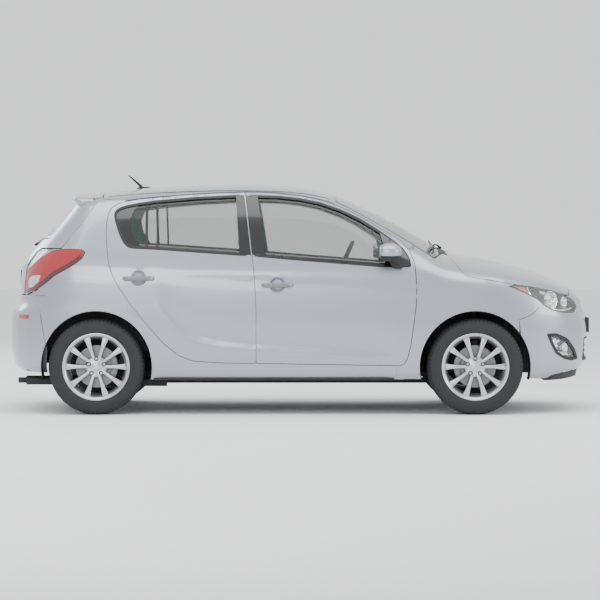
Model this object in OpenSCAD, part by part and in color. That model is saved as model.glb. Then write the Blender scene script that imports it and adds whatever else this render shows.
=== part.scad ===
// Five-door hatchback car: hollow cabin, opening doors and lids, steered front wheels.
// Frame: +X forward, +Y to the car's left, +Z up; z = 0 is the ground.

/* [Overall] */
// Length over the bumpers, mm
body_length = 3970; // [3400:10:4800]
// Width of the body without the mirrors, mm
body_width = 1710; // [1500:10:2060]
// Height of the roof above the ground, mm
body_height = 1550; // [1300:10:1860]

/* [Walls] */
// Thickness of the doors and sills below the windows, mm
door_wall = 95; // [70:1:115]
// Thickness of the pillars and roof, mm
roof_wall = 45; // [36:1:56]
// Thickness of the outer step of a door, mm
skin_step = 26; // [20:1:30]
// Thickness of the bonnet, mm
bonnet_wall = 22; // [16:1:28]
// Thickness of the glass, mm
glass_t = 5; // [4:1:7]

/* [Gaps] */
// Shut line between a moving panel and its neighbour, mm
shut_gap = 7; // [6:0.5:10]
// How far the body reaches behind the edge of a door, mm
door_lap = 26; // [20:1:34]
// Extra shut gap where a door edge swings past a pillar, mm
swing_gap = 6; // [5:0.5:9]
// Seam between two panels that are fixed together, mm
seat_gap = 0.3; // [0.2:0.05:0.5]

/* [Wheels] */
// Outer diameter of a tyre, mm
tyre_d = 640; // [560:5:700]
// Width of a tyre, mm
tyre_w = 195; // [165:5:215]
// Diameter over the rim lip, mm
rim_d = 446; // [390:1:480]
// Distance between the middles of the tyres of one axle, mm
track = 1480; // [1380:5:1500]
// Free space between a tyre and the edge of its arch, mm
arch_gap = 52; // [46:1:80]
// Number of spokes of a wheel
spokes = 10; // [5:1:12]
// Diameter of the stub axles, mm
stub_d = 56; // [40:1:70]
// Running clearance round a stub axle, mm
stub_play = 0.08; // [0.05:0.01:0.1]
// Diameter of the brake discs, mm
disc_d = 280; // [240:5:300]

/* [Steering wheel] */
// Outer diameter of the steering wheel, mm
steer_d = 370; // [340:5:400]
// Angle of the steering column above level, degrees
column_tilt = 25; // [20:1:35]

/* [Fittings] */
// Radius of the threaded towing eye hole, mm
tow_r = 8; // [6:0.5:10]
// Radius of the exhaust pipe, mm
pipe_r = 20; // [16:1:24]
// Side of the square jacking points, mm
jack_side = 60; // [40:5:80]
// Length of the roof antenna, mm
antenna_len = 135; // [60:5:200]

/* [Hidden] */
kx = body_length / 3970;
ky = body_width / 1710;
kz = body_height / 1550;
front_x = 1168 * kx;
rear_x = -1357 * kx;
tyre_r = tyre_d / 2;
arch_r = tyre_r + arch_gap;
wheel_y = track / 2;
king_y = wheel_y - 50;
stub_r = stub_d / 2;
hub_r = stub_r + stub_play;
gap2 = shut_gap / 2;
hinge_x1 = 776.5 * kx;
hinge_y1 = 850 * ky;
hinge_x2 = -292 * kx;
hinge_y2 = 855.5 * ky;
barrel_r = 2.5;
door_top_y = 531 * ky;

// Outline of the top of the car on its middle line, [x, z].
top_pts = [[-1985, 590], [-1980, 670], [-1950, 712], [-1918, 746], [-1914, 850], [-1911, 900],
  [-1904, 980], [-1876, 1045], [-1842, 1087], [-1786, 1149], [-1700, 1243], [-1620, 1331],
  [-1560, 1396], [-1500, 1452], [-1440, 1478], [-1390, 1486], [-1251, 1504], [-1042, 1525],
  [-834, 1538], [-625, 1547], [-417, 1550], [-208, 1546], [0, 1530], [139, 1504], [236, 1476],
  [347, 1431], [450, 1384], [556, 1334], [695, 1262], [869, 1163], [973, 1104], [1040, 1084],
  [1112, 1066], [1181, 1056], [1320, 1031], [1459, 996], [1598, 955], [1737, 899], [1807, 864],
  [1876, 819], [1918, 770], [1940, 705], [1962, 649], [1976, 600], [1985, 560]];
// Outline of the underside, [x, z].
bottom_pts = [[-1985, 400], [-1976, 350], [-1955, 310], [-1900, 285], [-1700, 275], [-1000, 232],
  [900, 232], [1500, 240], [1800, 250], [1900, 268], [1940, 285], [1972, 320], [1985, 375]];
// Half width amidships at each height, [z, y].
side_pts = [[180, 770], [232, 790], [262, 812], [330, 830], [420, 845], [520, 852], [620, 855],
  [740, 852], [850, 847], [920, 843], [960, 836], [1000, 822], [1065, 800], [1150, 762],
  [1250, 717], [1350, 668], [1455, 612], [1500, 580], [1560, 530]];
// Taper of the width along the car, [x, factor].
taper_pts = [[-1985, 0.9], [-1700, 0.945], [-1357, 0.98], [-900, 0.995], [-300, 1], [400, 1],
  [780, 0.997], [1168, 0.985], [1500, 0.955], [1985, 0.93]];
// Front and rear end of the body at each height, [z, x].
nose_pts = [[230, 1900], [285, 1942], [320, 1974], [375, 1987], [560, 1987], [600, 1980],
  [649, 1966], [705, 1950], [774, 1938], [900, 1920], [1100, 1890]];
tail_pts = [[270, -1900], [310, -1958], [350, -1978], [400, -1987], [590, -1987], [670, -1982],
  [712, -1952], [746, -1922], [850, -1918], [900, -1914], [980, -1908], [1045, -1880],
  [1087, -1846], [1149, -1790], [1243, -1704], [1331, -1624], [1396, -1564], [1452, -1504],
  [1500, -1450]];
// Half width and height of the crown of roof, screen and bonnet, [x, value].
crown_w = [[-1985, 800], [-1600, 700], [-1200, 650], [236, 640], [600, 690], [973, 745],
  [1300, 800], [1985, 820]];
crown_h = [[-1985, 60], [-1500, 60], [-1200, 62], [236, 64], [600, 95], [973, 105], [1300, 105],
  [1700, 100], [1985, 90]];
stations = [-1985, -1974, -1950, -1916, -1904, -1876, -1842, -1786, -1700, -1620, -1560, -1500,
  -1440, -1380, -1250, -1000, -700, -350, 0, 139, 236, 347, 470, 600, 750, 869, 973, 1050, 1180,
  1320, 1459, 1598, 1700, 1790, 1860, 1908, 1940, 1964, 1985];
levels = [0, 0.05, 0.15, 0.27, 0.4, 0.53, 0.65, 0.76, 0.85, 0.92, 0.965, 0.99, 1];

// Half width at station x and height z of the outer surface, set in by d.
function side_y(x, z, d) = let(
    a = x > 1100 ? (x - 1100) / (lookup(z, nose_pts) - d - 1100) : 0,
    b = x < -1250 ? (-1250 - x) / (-1250 - lookup(z, tail_pts) - d) : 0,
    e = a > 0 ? pow(max(1 - pow(min(a, 1), 2.8), 0), 1 / 2.8)
      : pow(max(1 - pow(min(b, 1), 3.4), 0), 1 / 3.4))
  lookup(z, side_pts) * lookup(x, taper_pts) * e - d;
function crown_y(x, z, d) =
  lookup(x, crown_w) * sqrt(max(lookup(x, top_pts) - d - z, 0) / lookup(x, crown_h));
function half_y(x, z, d) = let(s = max(side_y(x, z, d), 2), c = max(crown_y(x, z, d), 2))
  max(pow(pow(s, -7) + pow(c, -7), -1 / 7), 2);

// Whole outer body set in by d, as one closed solid.
module body(d = 0) {
  xs = [for (x = stations) let(t = (x + 1985) / 3970) x + d * (1 - 2 * t)];
  m = len(levels);
  n = len(xs);
  ring = [for (x = xs) let(zb = lookup(x, bottom_pts) + d, zt = lookup(x, top_pts) - d)
    [for (j = [0:2 * m - 1]) let(k = j < m ? j : 2 * m - 1 - j,
        z = zb + max(zt - zb, 12) * levels[k], y = half_y(x, z, d))
      [x * kx, (j < m ? y : -y) * ky, z * kz]]];
  pts = [for (r = ring) for (p = r) p];
  w = 2 * m;
  faces = concat(
    [for (i = [0:n - 2]) for (j = [0:w - 1])
      [i * w + j, i * w + (j + 1) % w, (i + 1) * w + j]],
    [for (i = [0:n - 2]) for (j = [0:w - 1])
      [i * w + (j + 1) % w, (i + 1) * w + (j + 1) % w, (i + 1) * w + j]],
    [for (j = [0:m - 2]) [j + 1, j, w - 1 - j]],
    [for (j = [0:m - 2]) [j + 1, w - 1 - j, w - 2 - j]],
    [for (j = [0:m - 2]) let(o = (n - 1) * w) [o + j, o + j + 1, o + w - 1 - j]],
    [for (j = [0:m - 2]) let(o = (n - 1) * w) [o + j + 1, o + w - 2 - j, o + w - 1 - j]]);
  polyhedron(pts, [for (f = faces) [f[2], f[1], f[0]]], convexity = 10);
}

// A pressed panel, finished as one sheet.
module panel() resize([0, 0, 0]) children();
function mm(l) = [for (p = l) [p[0] * kx, p[1] * kz]];
// A side-view outline swept from y0 to y1, grown by g.
module sweep(l, y0, y1, g = 0) translate([0, y1, 0]) rotate([90, 0, 0])
  linear_extrude(y1 - y0) offset(delta = g) polygon(mm(l));
// Box between two nominal corners.
module nbox(a, b) translate([a[0] * kx, a[1] * ky, a[2] * kz])
  cube([(b[0] - a[0]) * kx, (b[1] - a[1]) * ky, (b[2] - a[2]) * kz]);
module both() {
  children();
  mirror([0, 1, 0]) children();
}

// Shut lines of the doors, [x, z].
b_line = [[-369, 1486], [-354, 1365], [-319, 1065], [-302, 899], [-292, 700], [-292, 344]];
front_door_pts = concat(b_line, [[670, 328], [697, 342], [717, 382], [737, 468], [756, 600],
  [773, 733], [776, 833], [770, 940], [763, 1019], [744, 1058], [719, 1105], [668, 1165],
  [535, 1245], [402, 1325], [268, 1389], [134, 1433], [0, 1460], [-201, 1483]]);
rear_door_pts = concat([[-369, 1486], [-600, 1477], [-800, 1464], [-1072, 1439], [-1172, 1422],
  [-1226, 1406], [-1265, 1379], [-1285, 1338], [-1294, 1278], [-1296, 1198], [-1285, 1098],
  [-1276, 1019], [-1261, 966], [-1234, 899], [-1195, 833], [-1148, 766], [-1095, 700],
  [-1015, 600], [-912, 481], [-810, 397], [-710, 359], [-491, 346]],
  [for (i = [5:-1:1]) b_line[i]]);
// Window openings, [x, z].
front_window_pts = [[-338, 1459], [-134, 1453], [0, 1438], [134, 1411], [268, 1364], [402, 1300],
  [535, 1217], [630, 1149], [690, 1096], [722, 1045], [735, 990], [531, 992], [332, 1008],
  [0, 1034], [-226, 1054], [-296, 1060], [-300, 1062]];
rear_window_pts = [[-398, 1459], [-424, 1459], [-700, 1446], [-976, 1422], [-1076, 1407],
  [-1163, 1390], [-1209, 1374], [-1232, 1357], [-1240, 1332], [-1230, 1285], [-1204, 1211],
  [-1175, 1151], [-1145, 1120], [-1112, 1114], [-965, 1107], [-399, 1067], [-355, 1066]];

module wheel_space(x, r, y0) both() translate([x, 0, tyre_r]) rotate([-90, 0, 0])
  translate([0, 0, y0]) cylinder(h = 700, r = r, $fn = 72);
module wheel_spaces(g = 0) {
  wheel_space(front_x, arch_r - g, king_y - 255 + g);
  wheel_space(rear_x, arch_r - g, wheel_y - tyre_w / 2 - 35 + g);
}
// Hollow of the cabin and the boot.
module cabin() {
  difference() {
    union() {
      intersection() {
        body(door_wall);
        nbox([-1870, -800, 262], [905, 800, 1060]);
      }
      intersection() {
        body(roof_wall);
        nbox([-1870, -800, 1058], [980, 800, 1600]);
      }
    }
    wheel_space(rear_x, arch_r + 12, wheel_y - tyre_w / 2 - 47);
    sweep([[-1900, 200], [-1000, 200], [-1000, 262], [-1020, 430], [-1900, 430]], -900, 900);
  }
}
// Hollow under the bonnet.
module engine_bay() intersection() {
  body(40);
  nbox([925, -760, 180], [1850, 760, 1140]);
}
module wall() difference() {
  body();
  cabin();
  engine_bay();
  wheel_spaces();
}

module bonnet_zone(g = 0) sweep([[1000, 1200], [1000, 1075], [1022, 1044], [1049, 998], [1082, 944],
  [1109, 924], [1202, 907], [1336, 884], [1470, 862], [1600, 835], [1752, 800], [1812, 790],
  [1850, 880], [1850, 1200]], -900, 900, g);
module plan(l, z0, z1, g = 0) translate([0, 0, z0 * kz]) linear_extrude((z1 - z0) * kz)
  offset(delta = g) polygon([for (p = l) [p[0] * kx, p[1] * ky]]);
module screen_zone(g = 0) plan([[236, -548], [500, -600], [760, -655], [900, -690], [935, -560],
  [950, 0], [935, 560], [900, 690], [760, 655], [500, 600], [236, 548]], 1040, 1600, g);
module cowl_zone(g = 0) plan([[900, -690], [935, -560], [950, 0], [935, 560], [900, 690],
  [960, 700], [993, 560], [997, 0], [993, -560], [960, -700]], 960, 1300, g);
module fender_zone(g = 0) sweep([[700, 1010], [776, 833], [773, 733], [756, 600], [737, 468],
  [717, 382], [697, 342], [690, 200], [1590, 200], [1470, 640], [1517, 652], [1564, 678],
  [1605, 718], [1480, 880], [1470, 1010], [960, 1200], [820, 1060]], -900, 900, g);
// Everything in front of the fenders.
module nose_zone(g = 0) sweep([[1470, 200], [2100, 200], [2100, 1100], [1480, 1100], [1480, 880],
  [1605, 718], [1564, 678], [1517, 652], [1463, 632]], -900, 900, g);
module headlamp_zone(g = 0) both() sweep([[1420, 862], [1515, 862], [1640, 840], [1730, 812],
  [1800, 790], [1850, 760], [1880, 716], [1850, 668], [1760, 672], [1690, 690], [1640, 715],
  [1590, 762], [1520, 805]], 401 * ky, 900 * ky, g);
module fog_zone(g = 0) both() sweep([[1700, 535], [1745, 535], [1830, 512], [1900, 470],
  [1975, 400], [1990, 345], [1850, 350], [1760, 370], [1715, 430], [1695, 490]],
  441 * ky, 900 * ky, g);
module grille_zone(g = 0) sweep([[1700, 755], [2000, 760], [2000, 640], [1700, 640]],
  -400 * ky, 400 * ky, g);
module intake_zone(g = 0) sweep([[1700, 520], [2100, 520], [2100, 330], [1700, 330]],
  -440 * ky, 440 * ky, g);
module tail_lamp_zone(g = 0) both() sweep([[-1427, 1084], [-1455, 1104], [-1545, 1106],
  [-1600, 1104], [-1670, 1090], [-1740, 1052], [-1800, 1000], [-1850, 940], [-1930, 880],
  [-1930, 800], [-1840, 795], [-1770, 825], [-1700, 872], [-1640, 922], [-1560, 965],
  [-1500, 1000], [-1450, 1040]], 535 * ky, 900 * ky, g);
// The tailgate, in side view and in rear view.
module tailgate_zone(g = 0) intersection() {
  sweep([[-1336, 1600], [-1336, 1455], [-1400, 1362], [-1475, 1258], [-1597, 1104], [-1597, 795],
    [-2100, 795], [-2100, 1600]], -900, 900, g);
  translate([-2000 * kx, 0, 0]) rotate([90, 0, 90]) linear_extrude(1200 * kx)
    offset(delta = g) polygon([for (p = [[-530, 700], [530, 700], [530, 1090], [560, 1112],
      [900, 1112], [900, 1700], [-900, 1700], [-900, 1112], [-560, 1112], [-530, 1090]])
      [p[0] * ky, p[1] * kz]]);
}
module back_window(g = 0) translate([-2000 * kx, 0, 0]) rotate([90, 0, 90])
  linear_extrude(700 * kx) offset(r = g) polygon([for (p = [[-560, 1165], [560, 1165],
    [520, 1300], [470, 1405], [300, 1428], [-300, 1428], [-470, 1405], [-520, 1300]])
    [p[0] * ky, p[1] * kz]]);
module rear_zone(g = 0) sweep([[-2100, 200], [-1690, 200], [-1690, 420], [-1740, 700],
  [-1700, 792], [-2100, 792]], -900, 900, g);
module roof_zone(g = 0) intersection() {
  sweep([[-1329, 1600], [-1329, 1400], [236, 1400], [236, 1600]], -900, 900, g);
  sweep([[-1400, 1400], [400, 1400], [400, 1700], [-1400, 1700]], -500 * ky - g, 500 * ky + g);
}

// Floor, boot floor, bulkhead, inner wings and jacking pads.
module floor_pan() color("dimgray") difference() {
  union() {
    nbox([-1000, -690, 236], [905, 690, 262]);
    nbox([-1000, -690, 236], [-985, 690, 430]);
    nbox([-1700, -690, 418], [-985, 690, 430]);
    nbox([-1790, -600, 418], [-1690, 600, 430]);
    nbox([-1860, -520, 418], [-1780, 520, 430]);
    nbox([-1860, -410, 418], [-1845, 410, 775]);
    nbox([905, -690, 236], [925, 690, 262]);
    nbox([905, -620, 240], [925, 620, 955]);
    both() nbox([924, 405, 262], [1560, 419, 860]);
    both() nbox([1100, 418, 800], [1240, 640, 812]);
    both() for (x = [-850, 650]) translate([x * kx, 690 * ky - jack_side, 226 * kz])
      cube([jack_side, jack_side, 12 * kz]);
  }
  wheel_spaces();
}

module door_cut(l) {
  sweep(l, door_top_y, 1000 * ky, gap2);
}
// Side of the body: sill, pillars, roof rail and rear quarter.
module side_left() difference() {
  union() {
    difference() {
      wall();
      door_cut(front_door_pts);
      door_cut(rear_door_pts);
    }
    difference() {
      intersection() {
        body(skin_step + shut_gap);
        difference() {
          union() {
            sweep(front_door_pts, door_top_y - 1, 1000, gap2 + 1.4);
            sweep(rear_door_pts, door_top_y - 1, 1000, gap2 + 1.4);
          }
          cabin();
        }
      }
      sweep(front_door_pts, door_top_y, 1000, -gap2 - door_lap + shut_gap);
      nbox([200, 500, 1300], [315, 563, 1372]);
      sweep(rear_door_pts, door_top_y, 1000, -gap2 - door_lap + shut_gap);
    }
  }
  mirror([0, 1, 0]) translate([-3000, 0, -100]) cube([6000, 1200, 2000]);
  translate([-3000, -1, -100]) cube([6000, 401 * ky, 1800 * kz]);
  roof_zone(seat_gap);
  screen_zone(seat_gap);
  cowl_zone(seat_gap);
  bonnet_zone(shut_gap);
  fender_zone(seat_gap);
  nose_zone(seat_gap);
  tailgate_zone(shut_gap);
  tail_lamp_zone(seat_gap);
  rear_zone(seat_gap);
  nbox([-1000, -1, 200], [925, 690.3, 640]);
  nbox([-1900, -1, 200], [-990, 690.3, 430.3]);
  nbox([780, -900, 200], [2000, 900, 1060]);
}
// Hinge barrels on the pillars: the door's own barrels turn between them.
module barrel(x, y, z, h, dx, dy) {
  translate([x, y, z]) cylinder(h = h, r = barrel_r, $fn = 12);
  translate([min(x, x + dx), y - dy, z]) cube([max(abs(dx), 1.2), dy, h]);
}
module pillar_hinges() for (k = [0, 1]) {
  translate([-1.5, 0, 0]) barrel(hinge_x2, hinge_y2, (575 + 80 * k) * kz, 14, 3, 42);
  barrel(hinge_x1, hinge_y1, (775 + 70 * k) * kz, 14, 1.2, 50);
  translate([hinge_x1 - 16, hinge_y1 - 54, (775 + 70 * k) * kz]) cube([17.2, 15, 14]);
}
module side_frame_left() color("lightsteelblue") panel() {
  side_left();
  pillar_hinges();
}
module side_frame_right() color("lightsteelblue") panel() mirror([0, 1, 0]) {
  side_left();
  pillar_hinges();
}
module roof_panel() color("lightsteelblue") panel() {
  intersection() {
    difference() {
      body();
      body(14);
    }
    roof_zone(-seat_gap);
  }
  intersection() {
    difference() {
      body(10);
      body(56);
    }
    nbox([-1326, -390, 1300], [-1310, 390, 1600]);
  }
  intersection() {
    difference() {
      body(44 + seat_gap);
      body(56);
    }
    nbox([-1362, -390, 1300], [-1312, 390, 1600]);
  }
}
module fender() difference() {
  intersection() {
    difference() {
      body();
      body(16);
    }
    fender_zone(-seat_gap);
    translate([0, 640 * ky, 0]) cube([3000, 1000, 1500]);
  }
  bonnet_zone(shut_gap);
  sweep(front_door_pts, 300, 1000, gap2);
  screen_zone(seat_gap);
  cowl_zone(seat_gap);
  nose_zone(seat_gap);
  headlamp_zone(seat_gap);
  wheel_spaces();
  nbox([600, -700, 200], [930, 690.3, 264]);
}
module front_fender_left() color("lightsteelblue") panel() fender();
module front_fender_right() color("lightsteelblue") panel() mirror([0, 1, 0]) fender();
module front_bumper() color("lightsteelblue") panel() difference() {
  intersection() {
    difference() {
      body();
      body(20);
    }
    nose_zone(-seat_gap);
  }
  bonnet_zone(shut_gap);
  headlamp_zone(seat_gap);
  fog_zone(seat_gap);
  grille_zone();
  intake_zone();
  wheel_spaces();
  nbox([1400, -700, 200], [1700, 700, 300]);
}
module front_grille() color("black") panel() difference() {
  intersection() {
    body(6);
    union() {
      intersection() {
        grille_zone(-seat_gap);
        union() {
          for (i = [0:3]) nbox([1840, -400, 646 + 31 * i], [2100, 400, 660 + 31 * i]);
          both() for (i = [0:1]) nbox([1840, 130 + 160 * i, 640], [1925, 142 + 160 * i, 760]);
        }
      }
      intersection() {
        intake_zone(-seat_gap);
        union() {
          for (i = [0:3]) nbox([1850, -440, 338 + 52 * i], [2100, 440, 352 + 52 * i]);
          both() for (i = [0:1]) nbox([1850, 90 + 150 * i, 330], [1945, 102 + 150 * i, 520]);
        }
      }
    }
  }
  body(50);
  nbox([1700, 300, 400], [2100, 360, 480]);
}
module front_lip() color("black") panel() difference() {
  intersection() {
    translate([0, 0, -45]) body(20);
    nbox([1640, -620, 180], [1880, 620, 300]);
  }
  body(-seat_gap);
}
module cowl_panel() color("black") panel() {
  difference() {
    intersection() {
      body(3);
      cowl_zone(-seat_gap);
    }
    body(34);
    bonnet_zone(shut_gap);
  }
  difference() {
    intersection() {
      body(bonnet_wall + seat_gap);
      nbox([975, -600, 900], [1022, 600, 1200]);
    }
    body(34);
    screen_zone(3);
  }
}
// Cross beam behind the bumper with the towing eye socket.
module crash_beam() color("dimgray") difference() {
  union() {
    nbox([1780, -440, 395], [1815, 440, 475]);
    both() translate([1560 * kx + seat_gap, 405 * ky, 395 * kz])
      cube([222 * kx, 14 * ky, 80 * kz]);
    translate([1800 * kx, 330 * ky, 437 * kz]) rotate([0, 90, 0])
      cylinder(h = 62 * kx, r = tow_r + 12, $fn = 32);
  }
  translate([1812 * kx, 330 * ky, 437 * kz]) rotate([0, 90, 0])
    cylinder(h = 100, r = tow_r, $fn = 32);
}
module rear_bumper() color("lightsteelblue") panel() difference() {
  intersection() {
    difference() {
      body();
      body(20);
    }
    rear_zone(-seat_gap);
  }
  tailgate_zone(shut_gap);
  tail_lamp_zone(seat_gap);
  wheel_spaces();
  nbox([-1800, -700, 200], [-1600, 700, 300]);
}
module windscreen() color("lightblue") panel() intersection() {
  difference() {
    body(2);
    body(2 + glass_t);
  }
  screen_zone(-seat_gap);
}
module headlamps() color("white") panel() difference() {
  intersection() {
    body(0);
    headlamp_zone(-seat_gap);
  }
  body(55);
  bonnet_zone(shut_gap);
  wheel_spaces(-3);
}
module fog_lamps() color("white") panel() difference() {
  intersection() {
    body(3);
    fog_zone(-seat_gap);
  }
  body(50);
  wheel_spaces(-3);
}
module tail_lamps() color("red") panel() difference() {
  intersection() {
    body(0);
    tail_lamp_zone(-seat_gap);
  }
  body(50);
  tailgate_zone(shut_gap);
}
module bonnet() color("lightsteelblue") panel() difference() {
  intersection() {
    body();
    bonnet_zone(0);
  }
  body(bonnet_wall);
}
module tailgate() color("lightsteelblue") panel() difference() {
  intersection() {
    difference() {
      body();
      body(44);
    }
    tailgate_zone();
    nbox([-2000, -900, 797], [-1330, 900, 1600]);
  }
  intersection() {
    back_window();
    nbox([-2000, -900, 1120], [-1440, 900, 1445]);
  }
  sweep([[-1900, 600], [-1905, 760], [-1905, 800], [-1840, 800], [-1840, 600]], -900, 900);
}
module tailgate_glass() color("lightblue") panel() intersection() {
  difference() {
    body(6);
    body(6 + glass_t);
  }
  back_window(-seat_gap);
  nbox([-2000, -900, 1120], [-1440, 900, 1445]);
}
function crown_drop(x, y) = lookup(x, crown_h) * pow(y / lookup(x, crown_w), 2);
module rear_spoiler() color("lightsteelblue") panel() difference() {
  for (i = [-2:1]) hull() for (k = [i, i + 1]) let(y = 270 * k, d = crown_drop(-1400, y))
    translate([0, y * ky, 0]) rotate([90, 0, 0]) linear_extrude(1)
      polygon(mm([[-1392, 1486 - d], [-1470, 1489 - d], [-1546, 1486 - d], [-1552, 1478 - d],
        [-1548, 1464 - d], [-1480, 1380 - d], [-1392, 1400 - d]]));
  body(-seat_gap);
  sweep([[-1400, 1300], [-1400, 1476], [-1300, 1480], [-1300, 1300]], -900, 900);
}

// One side's doors: outer step, inner body and window frame.
module door_blank(l, w) difference() {
  union() {
    difference() {
      intersection() {
        body();
        sweep(l, door_top_y + shut_gap, 1000, -gap2);
      }
      body(skin_step);
    }
    intersection() {
      difference() {
        body(skin_step - 2);
        union() {
          intersection() {
            body(door_wall);
            nbox([-2000, -900, 100], [1500, 900, 1060]);
          }
          intersection() {
            body(roof_wall);
            nbox([-2000, -900, 1050], [1500, 900, 1600]);
          }
        }
      }
      sweep(l, door_top_y + shut_gap, 1000, -gap2 - door_lap);
    }
  }
  sweep(w, 200, 1000);
}
module front_door() {
  difference() {
    door_blank(front_door_pts, front_window_pts);
    sweep([[-420, 1500], [-420, 1060], [-327 + swing_gap, 1060], [-365 + swing_gap, 1365],
      [-380 + swing_gap, 1500]], 200, 1000);
  }
  for (k = [0, 1]) barrel(hinge_x1, hinge_y1, (789 + 70 * k) * kz + seat_gap, 14, -10, 8);
}
module rear_door() {
  difference() {
    door_blank(rear_door_pts, rear_window_pts);
    sweep([[-1400, 1500], [-1400, 1000], [-1272 + swing_gap, 1000], [-1285 + swing_gap, 1098],
      [-1292 + swing_gap, 1198], [-1290 + swing_gap, 1278], [-1281 + swing_gap, 1338],
      [-1261 + swing_gap, 1374], [-1226 + swing_gap, 1400], [-1226, 1500]], 200, 1000);
    wheel_spaces(-8);
  }
  for (k = [0, 1]) barrel(hinge_x2, hinge_y2, (589 + 80 * k) * kz + seat_gap, 14, -10, 8);
}
module front_door_left() color("lightsteelblue") panel() front_door();
module front_door_right() color("lightsteelblue") panel() mirror([0, 1, 0]) front_door();
module rear_door_left() color("lightsteelblue") panel() rear_door();
module rear_door_right() color("lightsteelblue") panel() mirror([0, 1, 0]) rear_door();
module side_glass(w) intersection() {
  difference() {
    body(8);
    body(8 + glass_t);
  }
  sweep(w, 200, 1000, -seat_gap);
}
module front_glass_left() color("lightblue") panel() side_glass(front_window_pts);
module front_glass_right() color("lightblue") panel()
  mirror([0, 1, 0]) side_glass(front_window_pts);
module rear_glass_left() color("lightblue") panel() side_glass(rear_window_pts);
module rear_glass_right() color("lightblue") panel() mirror([0, 1, 0]) side_glass(rear_window_pts);

// Pull handle: a bar on two feet.
module handle(x, z) panel() difference() {
  y = half_y(x, z, 0) * ky;
  translate([x * kx, y, z * kz]) {
    translate([-75, 14, -10]) cube([150, 12, 20]);
    translate([-75, -12, -10]) cube([22, 27, 20]);
    translate([53, -12, -10]) cube([22, 27, 20]);
  }
  body(-seat_gap);
}
module front_handle_left() color("silver") handle(-135, 868);
module front_handle_right() color("silver") mirror([0, 1, 0]) handle(-135, 868);
module rear_handle_left() color("silver") handle(-1060, 900);
module rear_handle_right() color("silver") mirror([0, 1, 0]) handle(-1060, 900);
module mirror_body() difference() {
  union() {
    hull() {
      translate([600 * kx, 905 * ky, 1085 * kz]) resize([110, 190, 105]) sphere(r = 50, $fn = 20);
      translate([550 * kx, 905 * ky, 1087 * kz]) rotate([0, 90, 0]) resize([92, 170, 8])
        cylinder(h = 8, r = 50, $fn = 20);
    }
    hull() {
      translate([640 * kx, 815 * ky, 978 * kz]) cube([70, 60, 16], center = true);
      translate([610 * kx, 880 * ky, 1050 * kz]) cube([50, 40, 16], center = true);
    }
  }
  body(-seat_gap);
}
module mirror_left() color("lightsteelblue") panel() mirror_body();
module mirror_right() color("lightsteelblue") panel() mirror([0, 1, 0]) mirror_body();

module engine_block() color("gray") translate([1230 * kx, -405 * ky + seat_gap, 330 * kz])
  cube([400 * kx, 810 * ky - 2 * seat_gap, 500 * kz]);
module fuel_tank() color("dimgray") translate([-900 * kx, -400 * ky, 200 * kz])
  cube([520 * kx, 760 * ky, 36 * kz - seat_gap]);
module exhaust() color("silver") {
  pipe_z = 236 * kz - pipe_r - 3;
  translate([-1500 * kx, -450 * ky, pipe_z]) rotate([0, 90, 0])
    cylinder(h = 2520 * kx, r = pipe_r, $fn = 24);
  translate([-1915 * kx, -450 * ky, pipe_z]) rotate([0, 90, 0])
    cylinder(h = 60 * kx, r = pipe_r, $fn = 24);
  translate([-1860 * kx, -450 * ky, pipe_z]) rotate([0, 90, 0])
    cylinder(h = 370 * kx, r = pipe_r + 12, $fn = 32);
  for (x = [-950, 0, 850]) translate([x * kx, -455 * ky, pipe_z])
    cube([20, 10, pipe_r + 3 - seat_gap]);
}
module rear_axle() color("dimgray") {
  translate([rear_x - 60, -(wheel_y - 110), tyre_r - 70]) cube([100, 2 * wheel_y - 220, 50]);
  both() translate([rear_x - 50, wheel_y - 170, tyre_r - 130]) cube([90, 60, 160]);
  both() translate([rear_x, wheel_y - 111, tyre_r]) rotate([-90, 0, 0])
    cylinder(h = 141, r = stub_r, $fn = 48);
  both() translate([rear_x + 30, wheel_y - 190, tyre_r - 140]) cube([430, 50, 44]);
  both() translate([-960 * kx, wheel_y - 190, tyre_r - 130])
    cube([50, 50, 236 * kz - tyre_r + 130 - seat_gap]);
}
module front_subframe() color("dimgray") {
  translate([front_x - 130, -420 * ky, tyre_r - 140]) cube([260, 840 * ky, 45]);
  both() translate([front_x - 35, 400 * ky, tyre_r - 140]) cube([70, king_y + 25 - 400 * ky, 25]);
  both() translate([front_x - 60, 404 * ky, tyre_r - 96])
    cube([120, 15 * ky, 262 * kz - tyre_r + 96 - seat_gap]);
}
module front_struts() color("dimgray") both() {
  translate([front_x, king_y - 110, tyre_r + 150])
    cylinder(h = 800 * kz - tyre_r - 150 - seat_gap, r = 24, $fn = 32);
  translate([front_x - 20, king_y - 134, tyre_r + 131]) cube([40, 150, 40]);
}
module knuckle() {
  translate([front_x - 30, king_y - 32, tyre_r - 115 + seat_gap]) cube([60, 50, 246 - 2 * seat_gap]);
  translate([front_x, king_y - 20, tyre_r]) rotate([-90, 0, 0])
    cylinder(h = 100, r = stub_r, $fn = 48);
}
module knuckle_left() color("gray") knuckle();
module knuckle_right() color("gray") mirror([0, 1, 0]) knuckle();
module wheel_rim() rotate([-90, 0, 0]) {
  b = tyre_w / 2;
  rotate_extrude($fn = 72) polygon([[rim_d / 2 - 20, -b + 8], [rim_d / 2, -b + 8],
    [rim_d / 2, b - 8], [rim_d / 2 - 20, b - 8], [rim_d / 2 - 12, b - 26],
    [rim_d / 2 - 12, -b + 26]]);
  difference() {
    union() {
      translate([0, 0, 24]) cylinder(h = 44, r = 66, $fn = 48);
      cylinder(h = 30, r = 52, $fn = 48);
      cylinder(h = 14, r = disc_d / 2, $fn = 64);
      for (i = [0:spokes - 1]) rotate([0, 0, 360 / spokes * (i + 0.5)])
        translate([50, -14, 40]) cube([rim_d / 2 - 58, 28, 24]);
    }
    translate([0, 0, -1]) cylinder(h = 55, r = hub_r, $fn = 48);
  }
}
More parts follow.
